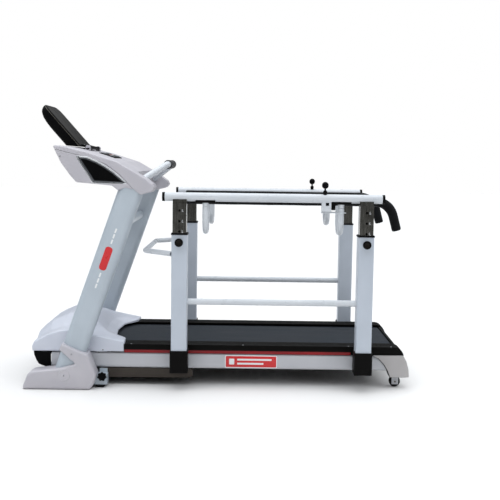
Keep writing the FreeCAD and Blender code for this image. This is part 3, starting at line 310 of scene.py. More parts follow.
def ringed(rings, caps=True):
    """A bmesh skin through rings of points, given in millimetres, with or without its two end faces."""
    mesh = bmesh.new()
    rows = [[mesh.verts.new(Vector(point) * MM) for point in ring] for ring in rings]
    count = len(rows[0])
    for first, second in zip(rows, rows[1:]):
        for i in range(count):
            j = (i + 1) % count
            mesh.faces.new((first[i], first[j], second[j], second[i]))
    if caps:
        mesh.faces.new(rows[0][::-1])
        mesh.faces.new(rows[-1])
    return mesh


# a corner's arc may use up this share of the shorter side beside it
LONGEST_SHARE = 0.48


def filleted(outline, radius, steps=6, radii=None):
    """A closed outline with each corner turned into an arc; radii gives some corners their own."""
    result = []
    count = len(outline)
    for i in range(count):
        here = Vector(outline[i])
        before, after = Vector(outline[i - 1]) - here, Vector(outline[(i + 1) % count]) - here
        own = (radii or {}).get(i, radius)
        half = before.angle(after) / 2
        reach = min(own / tan(half), LONGEST_SHARE * min(before.length, after.length))
        first, last = here + before.normalized() * reach, here + after.normalized() * reach
        for step in range(steps + 1):
            t = step / steps
            result.append(tuple(first * (1 - t) ** 2 + here * 2 * t * (1 - t) + last * t * t))
    return result


def winding(outline):
    """1 for an outline that runs anticlockwise, or -1."""
    count = len(outline)
    area = sum(outline[i][0] * outline[(i + 1) % count][1] - outline[(i + 1) % count][0] * outline[i][1]
               for i in range(count))
    return 1 if area > 0 else -1


# keeps a very sharp corner from running away when its outline is moved
SHARPEST = 0.35


def shrunk(outline, amount):
    """The outline moved inwards."""
    count = len(outline)
    side = winding(outline)
    result = []
    for i in range(count):
        here = Vector(outline[i])
        a = (here - Vector(outline[i - 1])).normalized()
        b = (Vector(outline[(i + 1) % count]) - here).normalized()
        normal_a, normal_b = Vector((-a.y, a.x)) * side, Vector((-b.y, b.x)) * side
        scale = amount / max(SHARPEST, 1 + normal_a.dot(normal_b))
        result.append(tuple(here + (normal_a + normal_b) * scale))
    return result


SMALLEST_RADIUS = 0.6


def soft_outline(outline, amount, radius, radii=None, steps=6):
    """The outline moved inwards and then given round corners that keep to the same arcs."""
    count = len(outline)
    side = winding(outline)
    own = {}
    for i in range(count):
        a = Vector(outline[i]) - Vector(outline[i - 1])
        b = Vector(outline[(i + 1) % count]) - Vector(outline[i])
        outer = (a.x * b.y - a.y * b.x) * side > 0
        wanted = (radii or {}).get(i, radius)
        own[i] = max(SMALLEST_RADIUS, wanted - amount if outer else wanted + amount)
    return filleted(shrunk(outline, amount), radius, steps, own)


def round_slab(outline, y_low, y_high, rim, radius=8, radii=None, steps=4, low=True):
    """A side outline with round corners, pushed across the machine, with its rims rounded; low=False
    leaves the rim at y_low square."""
    turns = [pi / 2 * i / steps for i in range(steps + 1)]
    if low:
        stations = [(y_low + rim * (1 - sin(a)), rim * (1 - cos(a))) for a in turns[::-1]]
    else:
        stations = [(y_low, 0)]
    stations += [(y_high - rim * (1 - sin(a)), rim * (1 - cos(a))) for a in turns]
    return ringed([[(x, y, z) for x, z in soft_outline(outline, amount, radius, radii)]
                   for y, amount in stations])


def flipped(mesh, sign):
    """The mesh as drawn for the right side, or mirrored for the left."""
    if sign < 0:
        for vert in mesh.verts:
            vert.co.y = -vert.co.y
    return mesh


def mirrored_pair(build, name, material, body, sharp=32, stands_for=()):
    """A piece on each side: build() gives the right one's bmesh, and the left one replaces the CAD nodes."""
    for side, sign in SIDES:
        place(flipped(build(), sign), f"{name}_{side}", material, body, sharp, stands_for if sign < 0 else ())


def lathe(profile, origin, axis="y", segments=40, flute=None):
    """A turned shape; profile is (distance along the axis, radius), flute(angle) scales the radius."""
    rings = []
    for along, radius in profile:
        ring = []
        for i in range(segments):
            angle = 2 * pi * i / segments
            r = radius * (flute(angle) if flute else 1)
            a, b = r * cos(angle), r * sin(angle)
            offset = {"x": (along, a, b), "y": (a, along, b), "z": (a, b, along)}[axis]
            ring.append(tuple(origin[k] + offset[k] for k in range(3)))
        rings.append(ring)
    return ringed(rings)


def bent_path(start, corner, end, steps):
    """Points along two straight runs joined by an arc that takes up half of the second run."""
    start, corner, end = Vector(start), Vector(corner), Vector(end)
    a, b = (start - corner).normalized(), (end - corner).normalized()
    half = a.angle(b) / 2
    reach = 0.49 * (end - corner).length
    centre = corner + (a + b).normalized() * (reach * tan(half) / sin(half))
    first, last = corner + a * reach - centre, corner + b * reach - centre
    axis = first.cross(last).normalized()
    sweep = pi - 2 * half
    arc = [centre + Matrix.Rotation(sweep * step / steps, 3, axis) @ first for step in range(steps + 1)]
    return [start] + arc + [end]


def pipe(path, radius, segments):
    """A round bar along a path; radius(share, length) gives its radius at a share of the whole length."""
    lengths = [0.0]
    for a, b in zip(path, path[1:]):
        lengths.append(lengths[-1] + (b - a).length)
    tangent = (path[1] - path[0]).normalized()
    side = tangent.orthogonal().normalized()
    rings = []
    for i, point in enumerate(path):
        new_tangent = (path[min(i + 1, len(path) - 1)] - path[max(i - 1, 0)]).normalized()
        side = (tangent.rotation_difference(new_tangent) @ side).normalized()
        tangent = new_tangent
        up = tangent.cross(side)
        own = radius(lengths[i] / lengths[-1], lengths[-1])
        rings.append([point + (side * cos(a) + up * sin(a)) * own
                      for a in (2 * pi * k / segments for k in range(segments))])
    return ringed(rings)


def boxed(x, y, z, radius=1.5):
    """A box with rounded edges."""
    mesh = bmesh.new()
    corners = [mesh.verts.new(Vector((a, b, c)) * MM) for a in x for b in y for c in z]
    for quad in ((0, 1, 3, 2), (4, 6, 7, 5), (0, 4, 5, 1), (2, 3, 7, 6), (0, 2, 6, 4), (1, 5, 7, 3)):
        mesh.faces.new([corners[i] for i in quad])
    bmesh.ops.recalc_face_normals(mesh, faces=mesh.faces)
    if radius:
        bmesh.ops.bevel(mesh, geom=mesh.edges[:], offset=radius * MM, segments=3, affect="EDGES", profile=0.5)
    return mesh


def turned(mesh, turn, where):
    """The mesh turned about the origin and moved."""
    for vert in mesh.verts:
        vert.co = turn @ vert.co + where * MM
    return mesh


def joined(*meshes):
    """Several bmeshes as one."""
    whole = bmesh.new()
    for part in meshes:
        data = as_data(part, "part")
        whole.from_mesh(data)
        bpy.data.meshes.remove(data)
    return whole


def carved(base, cutters, operation="DIFFERENCE"):
    """The bmesh base after Boolean cuts."""
    made = []
    for mesh in [base] + cutters:
        bmesh.ops.recalc_face_normals(mesh, faces=mesh.faces)
        made.append(added("carving", as_data(mesh, "carving")))
    body, *tools = made
    for tool in tools:
        cut = body.modifiers.new("cut", "BOOLEAN")
        cut.object = tool
        cut.operation = operation
        cut.solver = "EXACT"
    graph = bpy.context.evaluated_depsgraph_get()
    data = bpy.data.meshes.new_from_object(body.evaluated_get(graph))
    result = bmesh.new()
    result.from_mesh(data)
    for item in made:
        bpy.data.objects.remove(item)
    bpy.data.meshes.remove(data)
    bmesh.ops.dissolve_degenerate(result, dist=1e-6, edges=result.edges)
    return result


# ---- camera and light
CAMERA_PLACE = (0.124, -4.6167, 1.1033)
YAW, PITCH, ROLL = radians(0.318), radians(5.68), radians(0.81)
LENS_MM, SENSOR_MM = 63.45, 36


def make_camera():
    """A long lens from the left side, a little above the handrails' height."""
    forward = Vector((sin(YAW) * cos(PITCH), cos(YAW) * cos(PITCH), -sin(PITCH)))
    level = Vector((cos(YAW), -sin(YAW), 0))
    right = level * cos(ROLL) + level.cross(forward) * sin(ROLL)
    up = right.cross(forward)
    data = bpy.data.cameras.new("camera")
    data.lens = LENS_MM
    data.sensor_width = SENSOR_MM
    data.clip_end = 100
    camera = added("camera", data)
    turn = Matrix((right, up, -forward)).transposed()
    camera.matrix_world = Matrix.Translation(CAMERA_PLACE) @ turn.to_4x4()
    scene.camera = camera


# the sky's strength is SKY_LOW up to the height SKY_FROM and rises to SKY_HIGH overhead
SKY_FROM, SKY_LOW, SKY_HIGH = 0.2, 0.07, 2.3


def make_light():
    """A soft sky that is brightest overhead and plain white to look at, and two wide soft lights above."""
    world = bpy.data.worlds.new("studio")
    scene.world = world
    world.use_nodes = True
    world.node_tree.nodes.clear()
    node, link = world.node_tree.nodes.new, world.node_tree.links.new
    parts = node("ShaderNodeSeparateXYZ")
    link(node("ShaderNodeTexCoord").outputs["Generated"], parts.inputs[0])
    strength = node("ShaderNodeMapRange")
    for key, number in (("From Min", SKY_FROM), ("From Max", 1.0), ("To Min", SKY_LOW), ("To Max", SKY_HIGH)):
        strength.inputs[key].default_value = number
    link(parts.outputs["Z"], strength.inputs["Value"])
    seen = node("ShaderNodeBackground")
    seen.inputs["Color"].default_value = (1, 1, 1, 1)
    light = node("ShaderNodeBackground")
    light.inputs["Color"].default_value = (0.94, 0.97, 1, 1)
    link(strength.outputs["Result"], light.inputs["Strength"])
    chosen = node("ShaderNodeMixShader")
    for source, socket in zip((node("ShaderNodeLightPath").outputs["Is Camera Ray"], light.outputs[0],
                               seen.outputs[0]), chosen.inputs):
        link(source, socket)
    link(chosen.outputs[0], node("ShaderNodeOutputWorld").inputs[0])

    def area(name, where, target, size, power):
        data = bpy.data.lights.new(name, "AREA")
        data.shape = "RECTANGLE"
        data.size, data.size_y = size
        data.energy = power
        lamp = added(name, data)
        lamp.location = where
        lamp.rotation_euler = (Vector(target) - Vector(where)).to_track_quat("-Z", "Y").to_euler()

    area("key", (-1.6, -2.2, 4.2), (0, 0, 0.5), (3.0, 2.0), 14)
    area("top", (0.4, 0.4, 4.4), (0, 0, 0.4), (4.0, 2.5), 20)
    scene.view_settings.view_transform = "Standard"


FLOOR_HALF, FLOOR_DROP = 30, 0.0005


def make_floor():
    """A plain pale floor, just below the feet."""
    mesh = bmesh.new()
    bmesh.ops.create_grid(mesh, x_segments=1, y_segments=1, size=FLOOR_HALF)
    data = as_data(mesh, "floor")
    shader = Shader("floor_paint")
    speck = shader.noise(1.5, 3.0)
    colour = shader.mixed(speck, (0.80, 0.79, 0.78, 1), (0.82, 0.81, 0.80, 1))
    shader.surfaced(colour, shader.ranged(speck, 0, 1, 0.85, 0.95))
    data.materials.append(shader.material)
    floor = added("floor", data)
    floor.location.z = -FLOOR_DROP


# ---- console and display
CONSOLE = [(-789, 1166), (-779, 1172), (-736, 1167), (-626, 1141), (-487, 1098), (-415, 1057), (-352, 1020),
           (-318, 994), (-308, 974), (-322, 957), (-376, 942), (-410, 968), (-448, 976), (-482, 962),
           (-511, 984), (-549, 988), (-679, 998), (-706, 1027), (-752, 1090)]
PARTING = [(-800, 1157), (-683, 1129), (-612, 1112), (-541, 1085), (-479, 1040), (-425, 985), (-376, 930)]
GRILLE = [(-677, 1120), (-628, 1116), (-583, 1098), (-541, 1075), (-500, 1047), (-467, 1019), (-440, 995),
          (-598, 998)]


def side_prism(outline, y_low, y_high):
    """A side outline pushed across the machine."""
    return ringed([[(x, y, z) for x, z in outline] for y in (y_low, y_high)])


CONSOLE_HALF, GRILLE_DEPTH = 440, 6


def make_console():
    """Both console shells as one skin, with the parting line as a groove, and the display's two bosses."""
    body = round_slab(CONSOLE, -CONSOLE_HALF, CONSOLE_HALF, 8, 12, {0: 6, 1: 6}, steps=5)
    parting = PARTING + [(x + 1.2, z + 1.4) for x, z in PARTING[::-1]]
    bay = boxed((-404, -200), (-330, 330), (880, 1300), 22)
    keypad_well = boxed((-626, -539), (-131, 131), (1095, 1200), 3)
    hinge_way = lathe([(-166, 15), (166, 15)], (HINGE[0], 0, 1168))
    cutters = [bay, side_prism(parting, -450, 450), keypad_well, hinge_way]
    recess = filleted(GRILLE, 6, 4)
    for sign in (-1, 1):
        cutters.append(side_prism(recess, sign * (CONSOLE_HALF - GRILLE_DEPTH), sign * 450))
    place(carved(body, cutters), "console_shell", "shell", "base", 28,
          ["console_upper_shell", "console_lower_shell"])
    bosses = []
    for low in (-163, 143):
        bosses.append(boxed((-684, -660), (low, low + 20), (1150, 1166), 2))
        bosses.append(lathe([(low, 10.5), (low + 1.5, 12), (low + 18.5, 12), (low + 20, 10.5)], HINGE))
    place(joined(*bosses), "display_bosses", "shell", "base")


GRILLE_LEAN = 40
SLATS, SLAT_PITCH, SLAT_REACH, SLAT_HALF = 26, 6.0, 190, 1.6


def make_grilles():
    """Each side's loudspeaker opening: a bright rim, a dark sloping surround and a slatted grille."""
    lean = radians(GRILLE_LEAN)
    along = Vector((cos(lean), 0, -sin(lean)))
    across = Vector((sin(lean), 0, cos(lean)))
    for side, sign in SIDES:
        def band(levels):
            """A closed strip round the opening through (inset, distance from the middle plane) levels."""
            rings = [[(x, sign * y, z) for x, z in soft_outline(GRILLE, inset, 7, steps=4)]
                     for inset, y in levels]
            return ringed(rings, caps=False)

        rim = band(((-4.2, 439.4), (-4.2, 440.4), (-2.8, 441.2), (2.6, 441.0), (3.6, 439.4), (3.6, 434.2)))
        place(rim, f"grille_rim_{side}", "bright", "base", 28)
        surround = band(((3.4, 434.3), (3.4, 439.2), (9.5, 436.6), (10.0, 434.4)))
        place(surround, f"grille_surround_{side}", "motor", "base", 28)
        panel = side_prism(soft_outline(GRILLE, 4, 7, steps=4), sign * 434.1, sign * 434.8)
        slats = []
        for i in range(SLATS):
            middle = Vector((-565, 0, 1045)) + across * (i * SLAT_PITCH - 112)
            run, width = along * SLAT_REACH, across * SLAT_HALF
            quad = [middle - run + width, middle + run + width, middle + run - width, middle - run - width]
            slats.append(side_prism([(p.x, p.z) for p in quad], sign * 434.6, sign * 436.2))
        window = side_prism(soft_outline(GRILLE, 9.6, 7, steps=4), sign * 430, sign * 444)
        grille = carved(joined(*slats), [window], "INTERSECT")
        place(joined(panel, grille), f"grille_{side}", "black", "base", 28,
              ["speaker_grilles"] if sign < 0 else [])


STOP_X = -582
KEY_ROWS, KEY_COLUMNS, KEY_PITCH = 2, 8, 24


def make_keypad():
    """A sloping panel with two blocks of plain keys and a stop button in a ring."""
    tray = round_slab([(-623, 1144), (-542, 1119), (-545, 1098), (-623, 1102)], -128, 128, 4, 5)
    well = lathe([(1106, 16.5), (1160, 16.5)], (STOP_X, 0, 0), "z")
    place(carved(tray, [well]), "keypad_panel", "black", "base", 30, ["keypad_tray"])
    slope = Matrix.Rotation(atan2(25, 81), 3, "Y")
    keys = []
    for row in range(KEY_ROWS):
        for column in range(KEY_COLUMNS):
            y = KEY_PITCH * column + (-104 if column < KEY_COLUMNS // 2 else -64)
            centre = Vector((-604 + 40 * row, y, 1138.4 - 12.4 * row))
            keys.append(turned(boxed((-11, 11), (-9, 9), (-2, 3), 1.6), slope, centre))
    place(joined(*keys), "keypad_keys", "keys", "base", 30)
    ring = lathe([(1122, 17), (1131, 17), (1132.5, 18), (1132.5, 22), (1131, 23.5), (1122, 23.5), (1122, 17)],
                 (STOP_X, 0, 0), "z")
    place(ring, "stop_ring", "seam", "base", 30)
    cap = lathe([(1115, 12), (1127, 12), (1127.5, 15), (1130, 15.8), (1132.5, 14.5), (1134, 10), (1134.6, 4)],
                (STOP_X, 0, 0), "z")
    place(cap, "stop_cap", "red", "stop_button", 40, ["stop_button"])


# the display leans back; its shape is measured up along its face, across it and out of it
FACE_FOOT, FACE_LEAN = Vector((-706, 0, 1171)), radians(48.5)
BACK_RINGS = ((-55.5, 196, 146), (-55, 212, 150), (-53.2, 228, 154), (-49.5, 245, 157), (-44.5, 257, 159),
              (-38, 268, 160), (-30, 275, 160), (-22, 279, 160), (-15, 281, 160), (-8, 281, 160),
              (-3.5, 279.5, 159.4), (-1, 277, 158), (0, 274, 156))
FACE_UP = Vector((-cos(FACE_LEAN), 0, sin(FACE_LEAN)))
FACE_OUT = Vector((sin(FACE_LEAN), 0, cos(FACE_LEAN)))


def on_display(up, y, out):
    """A place on or near the display's face."""
    return FACE_FOOT + FACE_UP * up + FACE_OUT * out + Vector((0, y, 0))


def face_outline(low, high, half, top_radius, low_radius, out):
    """A rectangle round the display's face with its own radius at the top corners."""
    outline = filleted([(low, -half), (high, -half), (high, half), (low, half)], low_radius, 8,
                       {1: top_radius, 2: top_radius})
    return [on_display(up, y, out) for up, y in outline]


def make_display():
    """The housing with its rounded back, the glass, a seam round the edge, a lamp and the hinge."""
    # each ring: its distance out of the face, the height of its top edge and its half width
    rings = [face_outline(-40, high, half, 62, 4, out) for out, high, half in BACK_RINGS]
    foot = boxed((-960, -600), (-200, 200), (1000, 1174.5), 0)
    place(carved(ringed(rings), [foot]), "display_body", "black", "display", 30, ["display_housing"])
    rings = [face_outline(8 + less, 268 - less, 151 - less, 56 - less, 6, out)
             for out, less in ((-1.5, 0), (0.5, 0), (1.1, 0.8), (1.2, 2))]
    place(ringed(rings), "display_glass", "gloss", "display", 30, ["display_screen"])
    rings = [face_outline(5 - more, 280.6 + more, 159.8 + more, 62 + more, 6, out)
             for out, more in ((-7.0, -1), (-7.0, 0.5), (-5.6, 0.5), (-5.6, -1))]
    place(ringed(rings + rings[:1], caps=False), "display_seam", "seam", "display", 30)
    lamp = lathe([(0, 0.4), (0.2, 2.6), (0.8, 2.8), (1.3, 2.0), (1.5, 0.4)], (0, 0, 0), "z", 20)
    outwards = Vector((0, 0, 1)).rotation_difference(FACE_OUT).to_matrix()
    place(turned(lamp, outwards, on_display(15, -20, 1.0)), "display_lamp", "white_mark", "display", 40)
    barrel = lathe([(-141, 8), (-139, 10.5), (-120, 10.5), (-119, 9), (119, 9), (120, 10.5), (139, 10.5),
                    (141, 8)], HINGE)
    toe = round_slab([(-724, 1186), (-724, 1177), (-708, 1173), (-678, 1158), (-670, 1168), (-676, 1175),
                      (-702, 1181)], -120, 120, 2.5, 3)
    pin = lathe([(-161, 4), (-160, 5), (160, 5), (161, 4)], HINGE)
    place(joined(barrel, toe, pin), "display_hinge", "black", "display", 30)


def make_handlebar_grip():
    """A ribbed sleeve with a collar at each end."""
    profile = [(-121, 17), (-120.5, 21), (-118, 22.6), (-114, 22.6), (-112, 21.2)]
    for y in range(-108, 101, 8):
        profile += [(y, 21.4), (y + 2.2, 21.9), (y + 5.8, 21.9)]
    profile += [(112, 21.2), (114, 22.6), (118, 22.6), (120.5, 21), (121, 17)]
    place(lathe(profile, GRIP_AXIS), "handlebar_sleeve", "grip", "base", 40, ["handlebar_grip"])


# ---- floor covers, hood and bumper
COVER = [(-942, 1), (-939, 20), (-917, 74), (-898, 88), (-756, 105), (-685, 126), (-764, 193),
         (-752, 225), (-627, 172), (-587, 68), (-600, 25), (-618, 1)]
COVER_RADII = {1: 10, 2: 26, 3: 30, 4: 60, 5: 8, 6: 8, 7: 6, 8: 10, 9: 30, 10: 30}
COVER_RING = [(454.6, 25), (455.3, 25.8), (455.6, 27), (455.3, 28.2), (454.6, 29), (454.6, 25)]


def make_base_covers():
    """The moulded foot covers, each with a raised ring."""
    mirrored_pair(lambda: round_slab(COVER, 355, 455, 13, 4, COVER_RADII, steps=5), "base_cover", "shell",
                  "base", 30, ["base_covers"])
    mirrored_pair(lambda: lathe(COVER_RING, (-741, 0, 70), "y", 64), "cover_ring", "shell", "base", 40)


HOOD_SIDE = [(-916, 165), (-919, 188), (-908, 214), (-844, 250), (-785, 270), (-738, 276), (-665, 269),
             (-617, 252), (-540, 236), (-462, 221), (-462, 165)]
HOOD_CENTRE = [(-926, 165), (-934, 196), (-924, 234), (-853, 294), (-768, 333), (-738, 338), (-705, 340),
               (-640, 300), (-585, 245), (-541, 212), (-541, 165)]


def eased(value, knots):
    """A smooth curve through (position, share) knots, flat at both ends."""
    for (x0, s0), (x1, s1) in zip(knots, knots[1:]):
        if value <= x1:
            t = (value - x0) / (x1 - x0)
            return s0 + (s1 - s0) * t * t * (3 - 2 * t)
    return knots[-1][1]


HOOD_HALF, HOOD_LOW = 352, 172


def hood_loft(shrink, reach, floor_z, rim):
    """The hood's skin, moved inwards by shrink; reach is its half width and rim rounds the side walls. The
    points below HOOD_LOW go down to floor_z, unless it is 0."""
    half = [reach, reach - 0.05 * rim, reach - 0.3 * rim, reach - 0.6 * rim, reach - rim]
    half += [(reach - rim) * (1 - i / 26) for i in range(1, 27)]
    rings = []
    for y in half + [-y for y in half[-2::-1]]:
        away = max(0.0, abs(y) - (reach - rim)) / rim
        drop = rim * 0.7 * (1 - sqrt(max(0.0, 1 - away * away)))
        share = eased(HOOD_HALF - abs(y), [(0, 0), (75, 0.06), (215, 0.88), (HOOD_HALF, 1)])
        raw = [(a[0] + (b[0] - a[0]) * share, a[1] + (b[1] - a[1]) * share)
               for a, b in zip(HOOD_SIDE, HOOD_CENTRE)]
        outline = soft_outline(raw, shrink + drop, 24, {0: 3, 1: 14, 10: 3, 9: 6}, 5)
        rings.append([(x, y, floor_z if z < HOOD_LOW and floor_z else z) for x, z in outline])
    return ringed(rings)


def ellipsoid(centre, radii):
    """An ellipsoid with its poles on the Y axis, closed by small flat faces."""
    rings = []
    for i in range(1, 24):
        angle = pi * i / 24
        turns = [2 * pi * k / 48 for k in range(48)]
        rings.append([(centre[0] + radii[0] * sin(angle) * cos(a), centre[1] - radii[1] * cos(angle),
                       centre[2] + radii[2] * sin(angle) * sin(a)) for a in turns])
    return ringed(rings)


def screw_pair(name, body, profile, where):
    """A cap screw on each side of the machine, as one piece."""
    screws = [flipped(lathe(profile, where, "y", 24), sign) for sign in (-1, 1)]
    place(joined(*screws), name, "steel", body)


def make_hood():
    """A hollow hood, open below, cut out over the rails and the belt, with a rounded mouth for the belt."""
    inside = hood_loft(4, HOOD_HALF - 4, 120, 8)
    rail_way = boxed((-548, -400), (-350, 350), (140, 207.5), 0)
    belt_way = boxed((-640, -400), (-262, 262), (140, 205), 0)
    mouth = ellipsoid((-455, 0, 255), (80, 250, 72))
    skin = carved(hood_loft(0, HOOD_HALF, 0, 12), [inside, rail_way, belt_way, mouth])
    place(skin, "motor_hood_skin", "hood", "deck", 26, ["motor_hood"])
    screw_pair("hood_screws", "deck", [(351, 3.4), (352.4, 3.4), (353.0, 2.4), (352.5, 1.6), (352.4, 0.4)],
               (-568, 0, 177))


def make_bumper():
    """The nose under the hood, hollowed out round the lift frame."""
    outline = [(-911, 165), (-826, 165), (-826, 80), (-849, 80), (-853, 88), (-884, 99), (-896, 116),
               (-908, 144)]
    skin = round_slab(outline, -346, 346, 5, 4, {4: 6, 5: 14, 6: 20, 7: 20}, steps=3)
    inside = [boxed((-878, -800), (-338, 338), (50, 155), 2)]
    place(carved(skin, inside), "bumper", "black", "deck", 30, ["front_bumper"])


# ---- rear of the deck
REAR_CAP = [(754, 164), (911, 166), (927, 137), (939, 95), (942, 56), (848, 55), (834, 89), (816, 120),
            (788, 149)]


def make_rear_caps():
    """The moulded caps that hold the wheels, each with a black seal that shows along its front edge."""
    shifted = [(x - 2.2, z + 0.3) if x < 850 else (x - 6, min(z, 160)) for x, z in REAR_CAP]

    def slab(outline, y_low, y_high, rim, radii, way_radius):
        """A slab with room for the wheel cut out of it."""
        wheel_way = lathe([(270, way_radius), (316, way_radius)], (WHEEL_X, 0, WHEEL_RADIUS))
        return carved(round_slab(outline, y_low, y_high, rim, 10, radii), [wheel_way])

    mirrored_pair(lambda: slab(REAR_CAP, 290, 352, 4, {0: 3, 4: 6, 5: 5}, 31), "rear_cap", "cap", "deck", 30,
                  ["rear_caps"])
    mirrored_pair(lambda: slab(shifted, 291, 350.8, 1, {0: 3, 5: 5}, 32), "rear_cap_seal", "black", "deck",
                  30)


TYRE = [(-11, 21), (-11, 23), (-9.5, 26.3), (-7, 27.5), (7, 27.5), (9.5, 26.3), (11, 23), (11, 21), (8, 20),
        (8, 5), (-8, 5), (-8, 20), (-11, 21)]
HUB = [(-22, 3.6), (-21.4, 5), (-12.5, 5), (-12.5, 8), (-10, 12), (-10, 17), (-8.8, 20.4), (8.8, 20.4),
       (10, 17), (10, 12), (12.5, 8), (12.5, 5), (21.4, 5), (22, 3.6)]


def make_wheels():
    """The rear wheels: a rubber tyre round a grey hub with its axle."""
    for side, sign in SIDES:
        body, centre = f"rear_wheel_{side}", (WHEEL_X, sign * WHEEL_Y, WHEEL_RADIUS)
        place(lathe(TYRE, centre, "y", 48), f"wheel_tyre_{side}", "rubber", body, 30, [body])
        place(lathe(HUB, centre), f"wheel_hub_{side}", "tyre", body, 30)


STEP_LINE = [(-540, 207), (-300, 207), (0, 207), (300, 207), (600, 207), (855, 207), (866, 206.9), (874, 206),
             (882, 204), (890, 200), (897, 194.5), (903.5, 187), (909, 178), (913.5, 166.5)]
STEP_NOSE_X = 866
STEP_SIDE = [(650, 180), (650, 166.3), (906, 166.3), (897, 182), (885, 193), (866, 200), (860, 180)]
STEP_PLUG = [(889.5, 166.3), (912.5, 166.3), (902, 185), (889.5, 198)]
REAR_BAR = [(876, 197), (883, 196), (890, 192.4), (896, 187.4), (901, 181), (905, 174), (908, 166.3),
            (889.5, 166.3), (889.5, 180), (884, 189), (876, 193.2)]
STEP_SCREW = [(205.5, 4.2), (207.6, 4.2), (208.2, 3.2), (207.7, 1.6), (207.6, 0.4)]
RIBS, RIB_PITCH, RIB_DEPTH = 14, 5.6, 1.1


def make_step_rails():
    """Ribbed foot rails along both sides of the belt, with a nose that curves down at the rear."""
    # the section: distance from the middle plane, depth below the top
    top = [(BELT_HALF, 8), (BELT_HALF, 1.6), (BELT_HALF + 1.6, 0)]
    for y in (262 + RIB_PITCH * rib for rib in range(RIBS)):
        top += [(y, 0), (y + 0.7, RIB_DEPTH), (y + 2.1, RIB_DEPTH), (y + 2.8, 0)]
    top += [(DECK_HALF - 1.8, 0), (DECK_HALF - 0.4, 0.6), (DECK_HALF, 1.8)]

    def rail():
        rings = []
        for i, (x, z) in enumerate(STEP_LINE):
            before, after = STEP_LINE[max(i - 1, 0)], STEP_LINE[min(i + 1, len(STEP_LINE) - 1)]
            length = dist(before, after)
            down = ((after[1] - before[1]) / length, -(after[0] - before[0]) / length)
            skirt = 28 if x <= STEP_NOSE_X else 9
            section = top + [(DECK_HALF, skirt), (345.5, skirt), (345.5, 8)]
            rings.append([(x + down[0] * depth, y, z + down[1] * depth) for y, depth in section])
        return ringed(rings)

    def rear_end():
        """The closed side below the nose, the plug inside the nose and half of the bar behind the belt."""
        return joined(side_prism(STEP_SIDE, 345.6, 348.9), side_prism(STEP_PLUG, 255.2, 348.6),
                      side_prism(REAR_BAR, 0, 255.4))

    mirrored_pair(rail, "step_rail", "step", "deck", 30, ["step_rails"])
    mirrored_pair(rear_end, "step_rail_end", "step", "deck", 30)
    screws = [lathe(STEP_SCREW, (x, sign * 342.5, 0), "z", 20)
              for sign in (-1, 1) for x in (-430, 120, 640, 850)]
    place(joined(*screws), "step_rail_screws", "steel", "deck")


def make_badges():
    """A plain red plate with a white border and plain white bars on each side rail."""
    for side, sign in SIDES:
        def plate(x, z, y_low, y_high, radius):
            """A thin plate with round corners on the outside of the side rail."""
            outline = [(x[0], z[0]), (x[1], z[0]), (x[1], z[1]), (x[0], z[1])]
            return flipped(round_slab(outline, y_low, y_high, 0.3, radius, steps=2, low=False), sign)

        place(plate((32, 289), (93, 156), 344.9, 345.6, 7), f"badge_border_{side}", "white_mark", "deck")
        place(plate((36, 285), (97, 152), 345.2, 346.0, 5), f"badge_field_{side}", "badge", "deck")
        bars = [plate(x, z, 345.6, 346.4, radius) for x, z, radius in
                (((52, 78), (110, 139), 4), ((92, 262), (130, 139), 3), ((92, 222), (110, 119), 3))]
        place(joined(*bars), f"badge_bars_{side}", "white_mark", "deck")


MAST_FOOT, MAST_LEAN = Vector((-748, 0, 47)), 19.5


def make_mast_marks():
    """A plain red capsule and plain white bars along the outer flat of each mast."""
    lean = radians(MAST_LEAN)
    along, across = Vector((sin(lean), 0, cos(lean))), Vector((cos(lean), 0, -sin(lean)))

    def bar(low, high, left, right, radius, sign):
        corners = filleted([(low, left), (high, left), (high, right), (low, right)], radius, 8)
        return ringed([[MAST_FOOT + along * a + across * b + Vector((0, sign * y, 0)) for a, b in corners]
                       for y in (432.8, 433.4)])

    for side, sign in SIDES:
        place(bar(566, 684, -19, 17, 17, sign), f"mast_mark_{side}", "badge", "base")
        bars = [bar(low, low + 22, -5, 3, 1.5, sign) for low in (474, 502, 530, 700, 728, 756)]
        place(joined(*bars), f"mast_bars_{side}", "white_mark", "base")


# ---- posts and their fittings
KNOB = [(453.5, 3.6), (454.5, 5), (474, 5), (475.5, 11), (477, 17.5), (479.5, 20), (487.5, 20), (489.6, 18.6),
        (490.4, 15.4), (489.0, 13.6), (488.6, 12.4), (489.2, 11.4), (489.5, 2)]
KNOB_DISC = [(488.7, 13.4), (489.5, 13.3), (490.2, 12.4), (490.0, 11.0), (489.6, 10.2), (489.7, 2)]
BUSH = [(456, 9), (457.7, 13), (462, 13), (463.5, 11.5), (463.5, 5.4), (456, 5.4), (456, 9)]
STAR = [(388.2, 3), (389, 4), (402, 4), (402.2, 15), (404.5, 19.4), (408, 20.6), (414.5, 20.6), (418, 19.0),
        (419.8, 15), (420, 2)]


def square_ring(x, y, half, radius, z):
    """A level square with round corners."""
    outline = filleted([(-half, -half), (half, -half), (half, half), (-half, half)], radius, 4)
    return [(x + a, y + b, z) for a, b in outline]


def square_tube(x, y, half, inner, radius, z_low, z_high, soft=1.0):
    """A square tube with rounded corners and a softened top edge."""
    inner_radius = max(0.8, radius - (half - inner))
    section = ((half, radius, z_low), (half, radius, z_high - soft), (half - soft, radius, z_high),
               (inner, inner_radius, z_high), (inner, inner_radius, z_low), (half, radius, z_low))
    return ringed([square_ring(x, y, *corner) for corner in section], caps=False)


